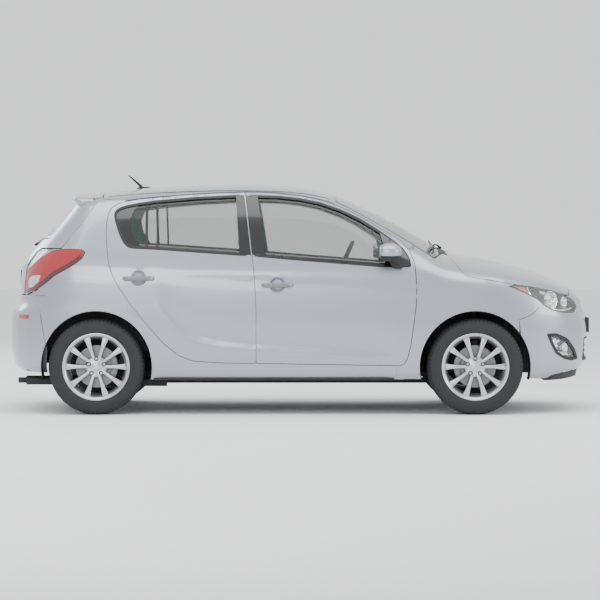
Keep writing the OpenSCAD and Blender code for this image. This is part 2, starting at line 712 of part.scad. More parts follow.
module wheel_front_left() color("silver") translate([front_x, wheel_y, tyre_r]) wheel_rim();
module wheel_front_right() color("silver") mirror([0, 1, 0])
  translate([front_x, wheel_y, tyre_r]) wheel_rim();
module wheel_rear_left() color("silver") translate([rear_x, wheel_y, tyre_r]) wheel_rim();
module wheel_rear_right() color("silver") mirror([0, 1, 0])
  translate([rear_x, wheel_y, tyre_r]) wheel_rim();
module tyre() rotate([-90, 0, 0]) rotate_extrude($fn = 96) {
  b = tyre_w / 2;
  polygon([[rim_d / 2 + seat_gap, -b + 9], [rim_d / 2 + 20, -b + 2], [rim_d / 2 + 45, -b],
    [tyre_r - 28, -b + 6], [tyre_r - 6, -b + 22], [tyre_r, -b + 40], [tyre_r, b - 40],
    [tyre_r - 6, b - 22], [tyre_r - 28, b - 6], [rim_d / 2 + 45, b], [rim_d / 2 + 20, b - 2],
    [rim_d / 2 + seat_gap, b - 9]]);
}
module tyre_front_left() color("black") translate([front_x, wheel_y, tyre_r]) tyre();
module tyre_front_right() color("black") translate([front_x, -wheel_y, tyre_r]) tyre();
module tyre_rear_left() color("black") translate([rear_x, wheel_y, tyre_r]) tyre();
module tyre_rear_right() color("black") translate([rear_x, -wheel_y, tyre_r]) tyre();

module dashboard() color("dimgray") panel() union() {
  hull() {
    nbox([680, -660, 780], [904.7, 660, 900]);
    nbox([640, -660, 920], [904.7, 660, 960]);
    nbox([680, -650, 970], [880, 650, 990]);
  }
  hull() {
    nbox([480, -110, 500], [860, 110, 800]);
    nbox([640, -110, 800], [860, 110, 940]);
  }
  nbox([300, -90, 262.3], [904.7, 90, 520]);
  translate([300 * kx, 370 * ky, 990 * kz]) rotate([0, 90 + column_tilt, 0])
    translate([0, 0, 22]) cylinder(h = 420, r = 30, $fn = 32);
}
module steering_wheel() color("black") translate([300 * kx, 370 * ky, 990 * kz])
  rotate([0, column_tilt - 90, 0]) {
    rotate_extrude($fn = 64) translate([steer_d / 2 - 14, 0]) circle(r = 14, $fn = 24);
    translate([0, 0, -22 + seat_gap]) cylinder(h = 40, r = 62, $fn = 48);
    for (a = [0, 140, 220]) rotate([0, 0, a]) translate([50, -16, -6])
      cube([steer_d / 2 - 70, 32, 12]);
  }
module seat_shape(w, x) {
  hull() {
    nbox([x - 240, -w, 400], [x + 270, w, 440]);
    nbox([x - 200, -w + 30, 470], [x + 250, w - 30, 500]);
  }
  hull() {
    nbox([x - 300, -w, 440], [x - 180, w, 500]);
    nbox([x - 440, -w + 40, 980], [x - 360, w - 40, 1010]);
  }
  hull() {
    nbox([x - 470, -110, 1030], [x - 400, 110, 1040]);
    nbox([x - 470, -90, 1190], [x - 420, 90, 1200]);
  }
  nbox([x - 440, -60, 1000], [x - 420, 60, 1035]);
  nbox([x - 180, -w + 40, 262.3], [x + 180, w - 40, 402]);
}
module front_seats() color("gray") panel() both() translate([0, 370 * ky, 0]) seat_shape(240, 60);
module rear_seat() color("gray") panel() {
  difference() {
    union() {
      hull() {
        nbox([-980, -600, 400], [-480, 600, 440]);
        nbox([-980, -600, 470], [-500, 600, 490]);
      }
      hull() {
        nbox([-1010, -600, 440], [-890, 600, 500]);
        nbox([-1130, -600, 960], [-1060, 600, 985]);
      }
      for (y = [-340, 0, 340]) nbox([-1150, y - 100, 975], [-1080, y + 100, 1100]);
      nbox([-960, -560, 262.3], [-600, 560, 402]);
    }
    wheel_spaces(-20);
  }
}
function surf_z(x, y) = (lookup(x, top_pts) - crown_drop(x, y)) * kz;
module wiper(y, w) hull() {
  translate([968 * kx, y * ky, surf_z(968, y) + 4]) cube([16, 24, 26], center = true);
  translate([925 * kx, (y + w / 2) * ky, surf_z(925, y + w / 2) + 10]) cube([12, 10, 12], center = true);
  translate([905 * kx, (y + w) * ky, surf_z(905, y + w) + 8]) cube([10, 8, 8], center = true);
}
module wipers() color("black") panel() difference() {
  union() {
    wiper(520, -520);
    wiper(-80, -460);
  }
  body(3 - seat_gap);
  intersection() {
    body(2 - seat_gap);
    screen_zone(2);
  }
}
module roof_antenna() color("black")
  translate([-1095 * kx, 0, lookup(-1095, top_pts) * kz + seat_gap]) {
    cylinder(h = 8, r = 14, $fn = 24);
    translate([0, 0, 4]) rotate([0, -47, 0]) cylinder(h = antenna_len, r = 3.5, $fn = 16);
  }
module rear_wiper() color("black") panel() difference() {
  hull() {
    translate([-1800 * kx, 0, 1140 * kz]) cube([50, 40, 24], center = true);
    translate([-1790 * kx, 300 * ky, 1165 * kz]) cube([30, 10, 10], center = true);
  }
  body(-seat_gap);
}

floor_pan();
side_frame_left();
side_frame_right();
roof_panel();
front_fender_left();
front_fender_right();
front_bumper();
rear_bumper();
front_grille();
front_lip();
crash_beam();
cowl_panel();
windscreen();
headlamps();
tail_lamps();
fog_lamps();
engine_block();
fuel_tank();
exhaust();
rear_axle();
front_subframe();
front_struts();
dashboard();
front_seats();
rear_seat();
wipers();
roof_antenna();
bonnet();
tailgate();
tailgate_glass();
rear_spoiler();
rear_wiper();
front_door_left();
front_door_right();
rear_door_left();
rear_door_right();
front_glass_left();
front_glass_right();
rear_glass_left();
rear_glass_right();
front_handle_left();
front_handle_right();
rear_handle_left();
rear_handle_right();
mirror_left();
mirror_right();
steering_wheel();
knuckle_left();
knuckle_right();
wheel_front_left();
wheel_front_right();
wheel_rear_left();
wheel_rear_right();
tyre_front_left();
tyre_front_right();
tyre_rear_left();
tyre_rear_right();
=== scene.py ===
import math

import bmesh
import bpy
import numpy as np
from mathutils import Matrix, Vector
from mathutils.geometry import delaunay_2d_cdt


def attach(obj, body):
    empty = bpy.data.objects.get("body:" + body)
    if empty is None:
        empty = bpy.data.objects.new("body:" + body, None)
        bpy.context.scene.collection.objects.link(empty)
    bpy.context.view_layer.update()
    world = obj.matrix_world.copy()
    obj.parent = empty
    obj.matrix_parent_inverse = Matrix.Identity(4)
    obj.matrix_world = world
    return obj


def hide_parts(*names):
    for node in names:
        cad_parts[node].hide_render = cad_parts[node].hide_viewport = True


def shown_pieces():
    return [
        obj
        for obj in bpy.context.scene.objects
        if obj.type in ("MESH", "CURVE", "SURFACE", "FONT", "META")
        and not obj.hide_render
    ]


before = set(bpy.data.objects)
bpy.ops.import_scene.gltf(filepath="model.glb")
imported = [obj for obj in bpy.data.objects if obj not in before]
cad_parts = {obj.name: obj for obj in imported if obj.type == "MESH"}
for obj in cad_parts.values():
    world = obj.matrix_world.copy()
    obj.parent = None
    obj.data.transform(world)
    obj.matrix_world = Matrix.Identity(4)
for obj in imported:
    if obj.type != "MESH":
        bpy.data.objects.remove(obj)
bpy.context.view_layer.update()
mm = 0.001
print("frame loaded:", len(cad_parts), "nodes")

# Camera and light.
cameraPlace = {"place": (0.0, -18.85, 1.2), "aim": (0.0, -0.85, 0.766), "lens": 162.7}
cameraData = bpy.data.cameras.new("camera")
cameraData.lens = cameraPlace["lens"]
cameraData.sensor_width = 36
camera = bpy.data.objects.new("camera", cameraData)
camera.location = cameraPlace["place"]
cameraAim = Vector(cameraPlace["aim"]) - Vector(cameraPlace["place"])
camera.rotation_euler = cameraAim.to_track_quat("-Z", "Y").to_euler()
bpy.context.scene.collection.objects.link(camera)
bpy.context.scene.camera = camera

# Soft boxes: name, place, aim, size in metres and power in watts.
softBoxes = [("top_light", (0, -1.5, 6.5), (0, 0, 0.6), (9, 5), 430),
             ("side_light", (-3, -9, 3.6), (0, 0, 0.8), (6, 3), 240),
             ("front_light", (8, -3.5, 3.2), (0.5, 0, 0.8), (4, 3), 200),
             ("back_light", (-6, 7, 4.5), (0, 0, 0.8), (7, 3), 260)]
for lightName, place, aim, size, power in softBoxes:
    lamp = bpy.data.lights.new(lightName, "AREA")
    lamp.shape, lamp.size, lamp.size_y, lamp.energy = "RECTANGLE", size[0], size[1], power
    lampObject = bpy.data.objects.new(lightName, lamp)
    lampObject.location = place
    lampObject.rotation_euler = (Vector(aim) - Vector(place)).to_track_quat("-Z", "Y").to_euler()
    bpy.context.scene.collection.objects.link(lampObject)


# Materials.
def linear(hexColour):
    # sRGB hex to linear: each channel to the power 2.4 above a short straight toe
    channels = [int(hexColour[i:i + 2], 16) / 255 for i in (1, 3, 5)]
    lit = [c / 12.92 if c <= 0.04045 else ((c + 0.055) / 1.055) ** 2.4 for c in channels]
    return (lit[0], lit[1], lit[2], 1.0)


def addNode(tree, kind, inputs=None, **settings):
    # one node: its settings, then each input as a value or as a link from a socket
    node = tree.nodes.new("ShaderNode" + kind)
    for key, value in settings.items():
        setattr(node, key, value)
    for key, value in (inputs or {}).items():
        if isinstance(value, bpy.types.NodeSocket):
            tree.links.new(value, node.inputs[key])
        else:
            node.inputs[key].default_value = value
    return node


def makeMaterial(name, low, high, grain, bump, roughness=(0.4, 0.5), shader=None, weave=0.0):
    # colour goes from low to high over a noise of the grain's size, roughness and height follow it
    material = bpy.data.materials.new(name)
    material.use_nodes = True
    tree = material.node_tree
    tree.nodes.clear()
    place = addNode(tree, "TexCoord").outputs["Object"]
    noise = addNode(tree, "TexNoise", {"Vector": place, "Scale": 1 / grain, "Detail": 3.0})
    colour = addNode(tree, "Mix", {"Factor": noise.outputs["Fac"]}, data_type="RGBA")
    colour.inputs[6].default_value = linear(low)
    colour.inputs[7].default_value = linear(high)
    rough = addNode(tree, "MapRange", {"Value": noise.outputs["Fac"], "To Min": roughness[0],
                                       "To Max": roughness[1]})
    height = noise.outputs["Fac"]
    if weave:
        threads = [addNode(tree, "TexWave", {"Vector": place, "Scale": math.pi / 10 / weave,
                                             "Distortion": 0.6, "Detail": 1.0},
                           bands_direction=axis).outputs["Fac"] for axis in "XYZ"]
        crossed = addNode(tree, "Math", {0: threads[0], 1: threads[1]}, operation="MULTIPLY")
        height = addNode(tree, "Math", {0: crossed.outputs[0], 1: threads[2]},
                         operation="ADD").outputs[0]
    relief = addNode(tree, "Bump", {"Height": height, "Distance": bump * mm, "Strength": 0.6})
    surface = addNode(tree, "BsdfPrincipled", {"Base Color": colour.outputs[2],
                                               "Roughness": rough.outputs[0],
                                               "Normal": relief.outputs["Normal"]})
    for key, value in (shader or {}).items():
        surface.inputs[key].default_value = value
    addNode(tree, "OutputMaterial", {"Surface": surface.outputs["BSDF"]})
    return material


# Grain is in metres; it is drawn coarser than the real one where that would be too fine to show.
finish = {
    # metallic base under a clear coat: bright with a soft sparkle of flakes
    "paint": makeMaterial("silver_metallic_paint", "#989EA8", "#A6ACB5", 0.0016, 0.004, (0.30, 0.36),
                          {"Metallic": 0.72, "Coat Weight": 1.0, "Coat Roughness": 0.03}),
    # grained polypropylene, matt and slightly uneven
    "trim": makeMaterial("grained_polypropylene", "#141516", "#1D1E20", 0.0012, 0.03, (0.52, 0.66)),
    # smooth ABS, glossier than the grained trim
    "gloss": makeMaterial("gloss_black_abs", "#08090A", "#0D0E0F", 0.02, 0.002, (0.10, 0.15),
                          {"Coat Weight": 0.6}),
    # green-grey tinted float glass, mirror smooth
    "glass": makeMaterial("tinted_float_glass", "#505E58", "#596861", 0.2, 0.0, (0.015, 0.02),
                          {"Alpha": 0.2, "IOR": 1.52, "Specular IOR Level": 0.6}),
    # clear polycarbonate lamp cover
    "clear": makeMaterial("clear_polycarbonate", "#E9EDF0", "#F4F6F8", 0.2, 0.0, (0.01, 0.02),
                          {"Alpha": 0.07, "IOR": 1.58, "Coat Weight": 0.5}),
    # red acrylic, deep and glossy
    "red": makeMaterial("red_acrylic", "#8E0E14", "#A3141A", 0.05, 0.01, (0.05, 0.09),
                        {"Coat Weight": 1.0, "IOR": 1.49}),
    "darkRed": makeMaterial("dark_red_acrylic", "#4A0A0E", "#560D12", 0.05, 0.01, (0.06, 0.1),
                            {"Coat Weight": 1.0, "IOR": 1.49}),
    "amber": makeMaterial("amber_acrylic", "#C4540C", "#D06416", 0.05, 0.01, (0.08, 0.12),
                          {"Coat Weight": 0.8}),
    # vacuum-coated reflector
    "mirror": makeMaterial("aluminised_reflector", "#D9DCDF", "#E8EAEC", 0.03, 0.0, (0.06, 0.1),
                           {"Metallic": 1.0}),
    # lacquered cast aluminium wheel
    "alloy": makeMaterial("lacquered_cast_alloy", "#B4B7BB", "#C2C5C9", 0.004, 0.01, (0.26, 0.34),
                          {"Metallic": 0.8, "Coat Weight": 0.7, "Coat Roughness": 0.08}),
    # machined cast iron with a fine turned grain
    "iron": makeMaterial("turned_cast_iron", "#6C6D6F", "#85868A", 0.004, 0.03, (0.35, 0.5),
                         {"Metallic": 1.0}),
    # weathered tyre rubber
    "rubber": makeMaterial("tyre_rubber", "#17181A", "#222325", 0.006, 0.06, (0.66, 0.82)),
    # satin grey moulded ABS handles
    "handle": makeMaterial("grey_satin_abs", "#6E7276", "#777B80", 0.001, 0.01, (0.34, 0.42),
                           {"Coat Weight": 0.3}),
    # bare zinc and steel
    "steel": makeMaterial("bright_steel", "#9A9C9F", "#B3B5B8", 0.006, 0.02, (0.24, 0.4),
                          {"Metallic": 1.0}),
    # sprayed black chassis coating, slightly rough
    "chassis": makeMaterial("underbody_coating", "#17181A", "#232426", 0.012, 0.3, (0.6, 0.8)),
    # cast aluminium engine block with sand texture
    "cast": makeMaterial("sand_cast_aluminium", "#7C7E80", "#919396", 0.004, 0.15, (0.45, 0.6),
                         {"Metallic": 0.9}),
    # woven polyester seat cloth, threads about 2 mm apart, drawn coarser to show
    "cloth": makeMaterial("woven_polyester", "#2E3033", "#3B3E42", 0.01, 0.25, (0.8, 0.95),
                          {"Sheen Weight": 0.35}, weave=0.004),
    "bolster": makeMaterial("knitted_bolster_cloth", "#232527", "#2C2E31", 0.006, 0.15, (0.8, 0.92),
                            {"Sheen Weight": 0.25}, weave=0.0025),
    # slush-moulded dashboard skin
    "soft": makeMaterial("moulded_dash_skin", "#26282A", "#303235", 0.0025, 0.12, (0.55, 0.7)),
    "lining": makeMaterial("door_card_plastic", "#33353A", "#3C3E43", 0.003, 0.08, (0.55, 0.68)),
    "plate": makeMaterial("blank_plate_plastic", "#D5D6D2", "#E0E1DD", 0.05, 0.0, (0.3, 0.36)),
    "leather": makeMaterial("wheel_rim_leather", "#191A1B", "#242526", 0.002, 0.08, (0.45, 0.55)),
}
floorPlate = makeMaterial("studio_floor", "#F1F2F3", "#F5F6F7", 0.5, 0.0, (0.7, 0.8))
world = bpy.data.worlds.new("studio")
world.use_nodes = True
world.node_tree.nodes["Background"].inputs[0].default_value = linear("#F6F7F8")
world.node_tree.nodes["Background"].inputs[1].default_value = 1.3
bpy.context.scene.world = world
print("materials ready:", len(finish))


# Body surface, in millimetres.
def smoothTable(points, blur=12.0):
    # monotone cubic through the points, sampled each millimetre or so, then blurred by a bell curve
    x, y = np.array(points, float).T
    step = np.diff(x)
    slope = np.diff(y) / step
    product = slope[:-1] * slope[1:]
    inner = np.where(product > 0, 2 * product / np.where(product > 0, slope[:-1] + slope[1:], 1), 0)
    tangent = np.concatenate([slope[:1], inner, slope[-1:]])
    fineX = np.linspace(x[0], x[-1], int(x[-1] - x[0]) + 1)
    k = np.clip(np.searchsorted(x, fineX) - 1, 0, len(x) - 2)
    t = (fineX - x[k]) / step[k]
    fineY = ((1 + 2 * t) * (1 - t) ** 2 * y[k] + t * (1 - t) ** 2 * step[k] * tangent[k]
             + t * t * (3 - 2 * t) * y[k + 1] + t * t * (t - 1) * step[k] * tangent[k + 1])
    reach = int(blur * 3)
    bell = np.exp(-0.5 * (np.arange(-reach, reach + 1) / blur) ** 2)
    fineY = np.convolve(np.pad(fineY, reach, "edge"), bell / bell.sum(), "valid")
    return fineX, fineY


# Top and underside along the car, [x, z]; widths and ends at each height, [z, value].
top = smoothTable([(-1985, 590), (-1980, 670), (-1950, 712), (-1918, 746), (-1914, 850), (-1911, 900),
                   (-1904, 980), (-1876, 1045), (-1842, 1087), (-1786, 1149), (-1700, 1243),
                   (-1620, 1331), (-1560, 1396), (-1500, 1452), (-1440, 1478), (-1390, 1486),
                   (-1251, 1504), (-1042, 1525), (-834, 1538), (-625, 1547), (-417, 1550),
                   (-208, 1546), (0, 1530), (139, 1504), (236, 1476), (347, 1431), (450, 1384),
                   (556, 1334), (695, 1262), (869, 1163), (973, 1104), (1040, 1084), (1112, 1066),
                   (1181, 1056), (1320, 1031), (1459, 996), (1598, 955), (1737, 899), (1807, 864),
                   (1876, 819), (1918, 770), (1940, 705), (1962, 649), (1976, 600), (1985, 560)], 9)
side = smoothTable([(180, 770), (232, 790), (262, 812), (330, 830), (420, 845), (520, 852), (620, 855),
                    (740, 852), (850, 847), (920, 843), (960, 836), (1000, 822), (1065, 800),
                    (1150, 762), (1250, 717), (1350, 668), (1455, 612), (1500, 580), (1560, 530)], 14)
taper = smoothTable([(-1985, .9), (-1700, .945), (-1357, .98), (-900, .995), (-300, 1), (400, 1),
                     (780, .997), (1168, .985), (1500, .955), (1985, .93)], 60)
nose = smoothTable([(225, 1855), (262, 1915), (320, 1966), (375, 1980), (560, 1980), (600, 1974),
                    (649, 1966), (705, 1950), (774, 1938), (900, 1920), (1100, 1890)], 9)
tail = smoothTable([(270, -1900), (310, -1956), (350, -1975), (400, -1983), (590, -1983), (670, -1979),
                    (712, -1952), (746, -1922), (850, -1918), (900, -1914), (980, -1908),
                    (1045, -1880), (1087, -1846), (1149, -1790), (1243, -1704), (1331, -1624),
                    (1396, -1564), (1452, -1504), (1500, -1450)], 7)
crownWidth = smoothTable([(-1985, 800), (-1600, 700), (-1200, 650), (236, 640), (600, 690), (973, 745),
                          (1300, 800), (1985, 820)], 60)
crownHeight = smoothTable([(-1985, 60), (-1500, 60), (-1200, 62), (236, 64), (600, 95), (973, 105),
                           (1300, 105), (1700, 100), (1985, 90)], 60)


# Lower edge of the hollow pressed in the doors, [x, z].
ridge = smoothTable([(-1060, 860), (-1000, 800), (-942, 735), (-850, 620), (-760, 540), (-664, 490),
                     (-500, 458), (-302, 442), (152, 415), (604, 381), (860, 365)], 25)


def pressed(x, z):
    # depth of the doors' hollow, steep below and slow above, and of the step under the shoulder line
    away = z - np.interp(x, *ridge) - 34
    hollow = 12.0 * np.exp(-(away / np.where(away > 0, 125, 24)) ** 2)
    hollow /= (1 + np.exp((x - 600) / 50)) * (1 + np.exp((-925 - x) / 30))
    below = z - (905.5 - 0.0527 * x) + 14
    crease = 4.5 * np.exp(-(below / np.where(below > 0, 11, 55)) ** 2)
    crease /= (1 + np.exp((x - 880) / 60)) * (1 + np.exp((-1650 - x) / 60))
    return hollow + crease


def halfWidth(x, z):
    # side times taper times a rounded end, blended with the parabola of the crown by a power mean
    a = np.clip((x - 1100) / (np.interp(z, *nose) - 1100), 0, 1)
    b = np.clip((-1250 - x) / (-1250 - np.interp(z, *tail)), 0, 1)
    end = np.where(x > 0, (1 - a ** 2.8) ** (1 / 2.8), (1 - b ** 3.4) ** (1 / 3.4))
    flank = np.interp(z, *side) * np.interp(x, *taper) * end
    rise = np.maximum(np.interp(x, *top) - z, 0) / np.interp(x, *crownHeight)
    crown = np.interp(x, *crownWidth) * np.sqrt(rise)
    blend = (np.maximum(flank, 0.01) ** -7 + np.maximum(crown, 0.01) ** -7) ** (-1 / 7)
    return blend - np.where(blend > 300, pressed(x, z), 0)


def alongRay(x0, y0, z0, dx, dy, dz):
    # share of each ray at which it leaves the body, by halving the interval 34 times
    near, far = np.zeros_like(x0 + dx + z0), np.ones_like(x0 + dx + z0)
    for _ in range(34):
        t = (near + far) / 2
        held = halfWidth(x0 + t * dx, z0 + t * dz) > np.abs(y0 + t * dy) + 0.05
        near, far = np.where(held, t, near), np.where(held, far, t)
    return near


def fromSide(u, v):
    # flank seen from the left: u is x and v is z
    return np.stack([u, halfWidth(u, v), v], 1)


def fromTop(u, v):
    # seen from above: u is x and v is y
    start = np.full_like(u, 560.0)
    t = alongRay(u, v, start, 0 * u, 0 * u, 0 * u + 1100)
    return np.stack([u, v, start + 1100 * t], 1)


def fromEnd(middle, reach, u, v):
    # seen round an end: u is the angle about the middle, as an arc of radius 700, and v is z
    angle = u / 700
    dx, dy = reach * np.cos(angle), 900 * np.sin(angle)
    t = alongRay(middle + 0 * u, 0 * u, v, 1.15 * dx, 1.15 * dy, 0 * u)
    return np.stack([middle + 1.15 * t * dx, 1.15 * t * dy, v], 1)


views = {"side": (fromSide, lambda p: p[:, [0, 2]]),
         "top": (fromTop, lambda p: p[:, [0, 1]]),
         "front": (lambda u, v: fromEnd(1100, 890, u, v),
                   lambda p: np.stack([700 * np.arctan2(p[:, 1] / 900, (p[:, 0] - 1100) / 890),
                                       p[:, 2]], 1)),
         "rear": (lambda u, v: fromEnd(-1250, -740, u, v),
                  lambda p: np.stack([700 * np.arctan2(p[:, 1] / 900, (-1250 - p[:, 0]) / 740),
                                      p[:, 2]], 1))}


# Outlines.
def softLoop(points, round_=12.0, step=7.0):
    # the closed polygon sampled evenly, then blurred round the loop, which rounds its corners
    p = np.array(points, float)
    edge = np.linalg.norm(np.roll(p, -1, 0) - p, axis=1)
    run = np.concatenate([[0], np.cumsum(edge)])
    closed = np.vstack([p, p[:1]])
    count = max(int(run[-1] / step), 12)
    s = np.linspace(0, run[-1], count, endpoint=False)
    q = np.stack([np.interp(s, run, closed[:, i]) for i in (0, 1)], 1)
    if round_ > 0:
        k = np.arange(count)
        lag = np.minimum(k, count - k) * (run[-1] / count)
        bell = np.exp(-0.5 * (lag / round_) ** 2)
        bell /= bell.sum()
        q = np.real(np.fft.ifft(np.fft.fft(q, axis=0) * np.fft.fft(bell)[:, None], axis=0))
    return q


def offset(loop, distance):
    # each point moved along the loop's own normal, outwards when distance is positive
    tangent = np.roll(loop, -1, 0) - np.roll(loop, 1, 0)
    tangent /= np.linalg.norm(tangent, axis=1)[:, None] + 1e-9
    turn = np.sum(loop[:, 0] * np.roll(loop[:, 1], -1) - np.roll(loop[:, 0], -1) * loop[:, 1])
    normal = np.stack([tangent[:, 1], -tangent[:, 0]], 1) * np.sign(turn)
    return loop + distance * normal


def isInside(points, loop):
    # even-odd rule: a level line from each point crosses the loop an odd number of times
    a, b = loop, np.roll(loop, -1, 0)
    x, y = points[:, :1], points[:, 1:]
    spans = (a[None, :, 1] > y) != (b[None, :, 1] > y)
    rise = b[None, :, 1] - a[None, :, 1]
    crossing = a[None, :, 0] + (y - a[None, :, 1]) * (b[None, :, 0] - a[None, :, 0]) / (rise + 1e-12)
    return (spans & (x < crossing)).sum(1) % 2 == 1


def circle(x, z, radius, count=90):
    angle = np.linspace(0, 2 * math.pi, count, endpoint=False)
    return np.stack([x + radius * np.cos(angle), z + radius * np.sin(angle)], 1)


def meshNormals(points, faces):
    # sum of the cross products of the faces round each point
    cross = np.cross(points[faces[:, 1]] - points[faces[:, 0]], points[faces[:, 2]] - points[faces[:, 0]])
    total = np.zeros_like(points)
    for i in range(3):
        np.add.at(total, faces[:, i], cross)
    return total / (np.linalg.norm(total, axis=1)[:, None] + 1e-9)


def cutSheet(view, keep, cuts=(), spacing=24.0, lift=0.0, extra=None):
    # outlines and a grid joined into triangles in the flat view, sorted by outline, then bent on the body
    low, high = keep.min(0), keep.max(0)
    grid = np.stack(np.meshgrid(np.arange(low[0], high[0], spacing),
                                np.arange(low[1], high[1], spacing)), -1).reshape(-1, 2)
    grid[:, 0] += (np.round(grid[:, 1] / spacing) % 2) * spacing / 2
    loops = [keep] + list(cuts)
    rim = np.vstack(loops)
    grid = grid[isInside(grid, keep)]
    gap = np.concatenate([np.sqrt(((part[:, None] - rim[None]) ** 2).sum(2)).min(1)
                          for part in np.array_split(grid, max(1, len(grid) // 400))]) \
        if len(grid) else np.zeros(0)
    grid = grid[gap > spacing * 0.45]
    edges, start = [], 0
    for loop in loops:
        ids = np.arange(start, start + len(loop))
        edges += np.stack([ids, np.roll(ids, -1)], 1).tolist()
        start += len(loop)
    flat = np.vstack([rim, grid])
    result = delaunay_2d_cdt([Vector(p) for p in flat.tolist()], edges, [], 0, 1e-3)
    flat = np.array([tuple(p) for p in result[0]])
    faces = np.array(result[2])
    middle = flat[faces].mean(1)
    held = isInside(middle, keep)
    for loop in cuts:
        held &= ~isInside(middle, loop)
    faces = faces[held]
    used, faces = np.unique(faces, return_inverse=True)
    faces = faces.reshape(-1, 3)
    points = views[view][0](flat[used, 0], flat[used, 1])
    normal = meshNormals(points, faces)
    outward = points - np.stack([points[:, 0] * 0.75, 0 * points[:, 0], 0 * points[:, 0] + 700], 1)
    if (normal * outward).sum() < 0:
        faces, normal = faces[:, ::-1], -normal
    height = lift if extra is None else lift + extra(points)[:, None]
    return points + normal * height, faces


# Pieces.
def putMesh(name, points, faces, material, body, smooth=True, replaces=(), mirrored=False):
    # one mesh object in metres at the world origin, riding on its body
    points = np.array(points, float)
    if mirrored:
        points = points * [1, -1, 1]
        faces = [list(f)[::-1] for f in faces]
    mesh = bpy.data.meshes.new(name)
    mesh.from_pydata((points * mm).tolist(), [], [list(map(int, f)) for f in faces])
    mesh.update()
    mesh.shade_smooth() if smooth else mesh.shade_flat()
    piece = bpy.data.objects.new(name, mesh)
    bpy.context.scene.collection.objects.link(piece)
    for one in (material if isinstance(material, (list, tuple)) else [material]):
        mesh.materials.append(finish[one])
    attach(piece, body)
    if replaces:
        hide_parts(*replaces)
    return piece


def thicken(piece, thickness, edge=1.2, segments=2):
    # wall inwards from the outer face, and its edge rounded
    wall = piece.modifiers.new("wall", "SOLIDIFY")
    wall.thickness, wall.offset = thickness * mm, -1
    if edge:
        rounding = piece.modifiers.new("edge", "BEVEL")
        rounding.width, rounding.segments, rounding.limit_method = edge * mm, segments, "ANGLE"
        rounding.angle_limit, rounding.harden_normals = math.radians(50), True
    return piece


def panel(name, view, keep, cuts, body, material="paint", wall=8.0, lift=0.0,
          spacing=24.0, sides="LR", edge=1.2, extra=None):
    # the same cut sheet on one or both sides of the car
    points, faces = cutSheet(view, keep, cuts, spacing, lift, extra)
    made = []
    for mark in sides:
        rider = body.replace("SIDE", {"L": "left", "R": "right", "M": ""}[mark])
        label = name + {"L": "_left", "R": "_right", "M": ""}[mark]
        piece = putMesh(label, points, faces, material, rider, mirrored=mark == "R")
        made.append(thicken(piece, wall, edge))
    return made


def onFlank(points, inner=0.0):
    # points [x, z] of a side view, carried on to the body where it is at least inner wide
    p = np.array(points, float)
    if inner:
        for _ in range(60):
            narrow = halfWidth(p[:, 0], p[:, 1]) < inner
            p[:, 0] = np.where(narrow, p[:, 0] - np.sign(p[:, 0]) * 8, p[:, 0])
    return np.stack([p[:, 0], halfWidth(p[:, 0], p[:, 1]), p[:, 1]], 1)


def acrossEnd(points, sign):
    # points [y, z] of an end view, carried along x on to the body
    p = np.array(points, float)
    start = np.full(len(p), sign * 1000.0)
    t = alongRay(start, p[:, 0], p[:, 1], start, 0 * start, 0 * start)
    return np.stack([start * (1 + t), p[:, 0], p[:, 1]], 1)


def flankShape(points, soften=6):
    # a side-view outline carried on to the nose
    return softLoop(views["front"][1](onFlank(points)), soften)


def noseShape(points, soften=6):
    # an end-view outline [y, z] carried on to the nose
    return softLoop(views["front"][1](acrossEnd(points, 1)), soften)


def tailShape(points, soften=6):
    # an end-view outline [y, z] carried on to the tail
    return softLoop(views["rear"][1](acrossEnd(points, -1)), soften)


def tailFlank(points, soften=6):
    # a side-view outline carried on to the tail, kept clear of the tailgate's glass
    return softLoop(views["rear"][1](onFlank(points, 535)), soften)


def bothHalves(points):
    # the left half of a loop seen from above, and its mirror image
    return np.vstack([points, (points * [1, -1])[::-1]])


def blackPart(name, view, keep, cuts, look, wall, lift, spacing, edge=0.0, sides="LR", body="shell"):
    # a black moulding, cut and bent like any panel
    panel(name, view, keep, cuts, body, look, wall, lift, spacing, sides, edge)


def acrossBody(view, half):
    # a loop that runs up one side and back down the other, from the points of the left side
    flat = views[view][1](half)
    return np.vstack([flat, (flat * ([-1, 1] if view != "top" else [1, -1]))[::-1]])


# Outlines of the body's parts.
shutLine = {"gap": 2.3, "wall": 8.0, "doorWall": 15.0}
pillarLine = [(-369, 1486), (-354, 1365), (-319, 1065), (-302, 899), (-292, 700), (-292, 344)]
frontDoor = softLoop(pillarLine + [(670, 328), (697, 342), (717, 382), (737, 468), (756, 600),
                                   (773, 733), (776, 833), (770, 940), (763, 1019), (744, 1058),
                                   (719, 1105), (668, 1165), (535, 1245), (402, 1325), (268, 1389),
                                   (134, 1433), (0, 1460), (-201, 1483)], 9)
rearDoor = softLoop([(-369, 1486), (-600, 1477), (-800, 1464), (-1072, 1439), (-1172, 1422),
                     (-1226, 1406), (-1265, 1379), (-1285, 1338), (-1294, 1278), (-1296, 1198),
                     (-1285, 1098), (-1276, 1019), (-1261, 966), (-1234, 899), (-1195, 833),
                     (-1148, 766), (-1095, 700), (-1015, 600), (-912, 481), (-810, 397),
                     (-710, 359), (-491, 346)] + pillarLine[:0:-1], 9)
frontWindow = softLoop([(-338, 1459), (-134, 1453), (0, 1438), (134, 1411), (268, 1364), (402, 1300),
                        (535, 1217), (630, 1149), (690, 1096), (722, 1045), (735, 990), (531, 992),
                        (332, 1008), (0, 1034), (-226, 1054), (-300, 1062)], 8)
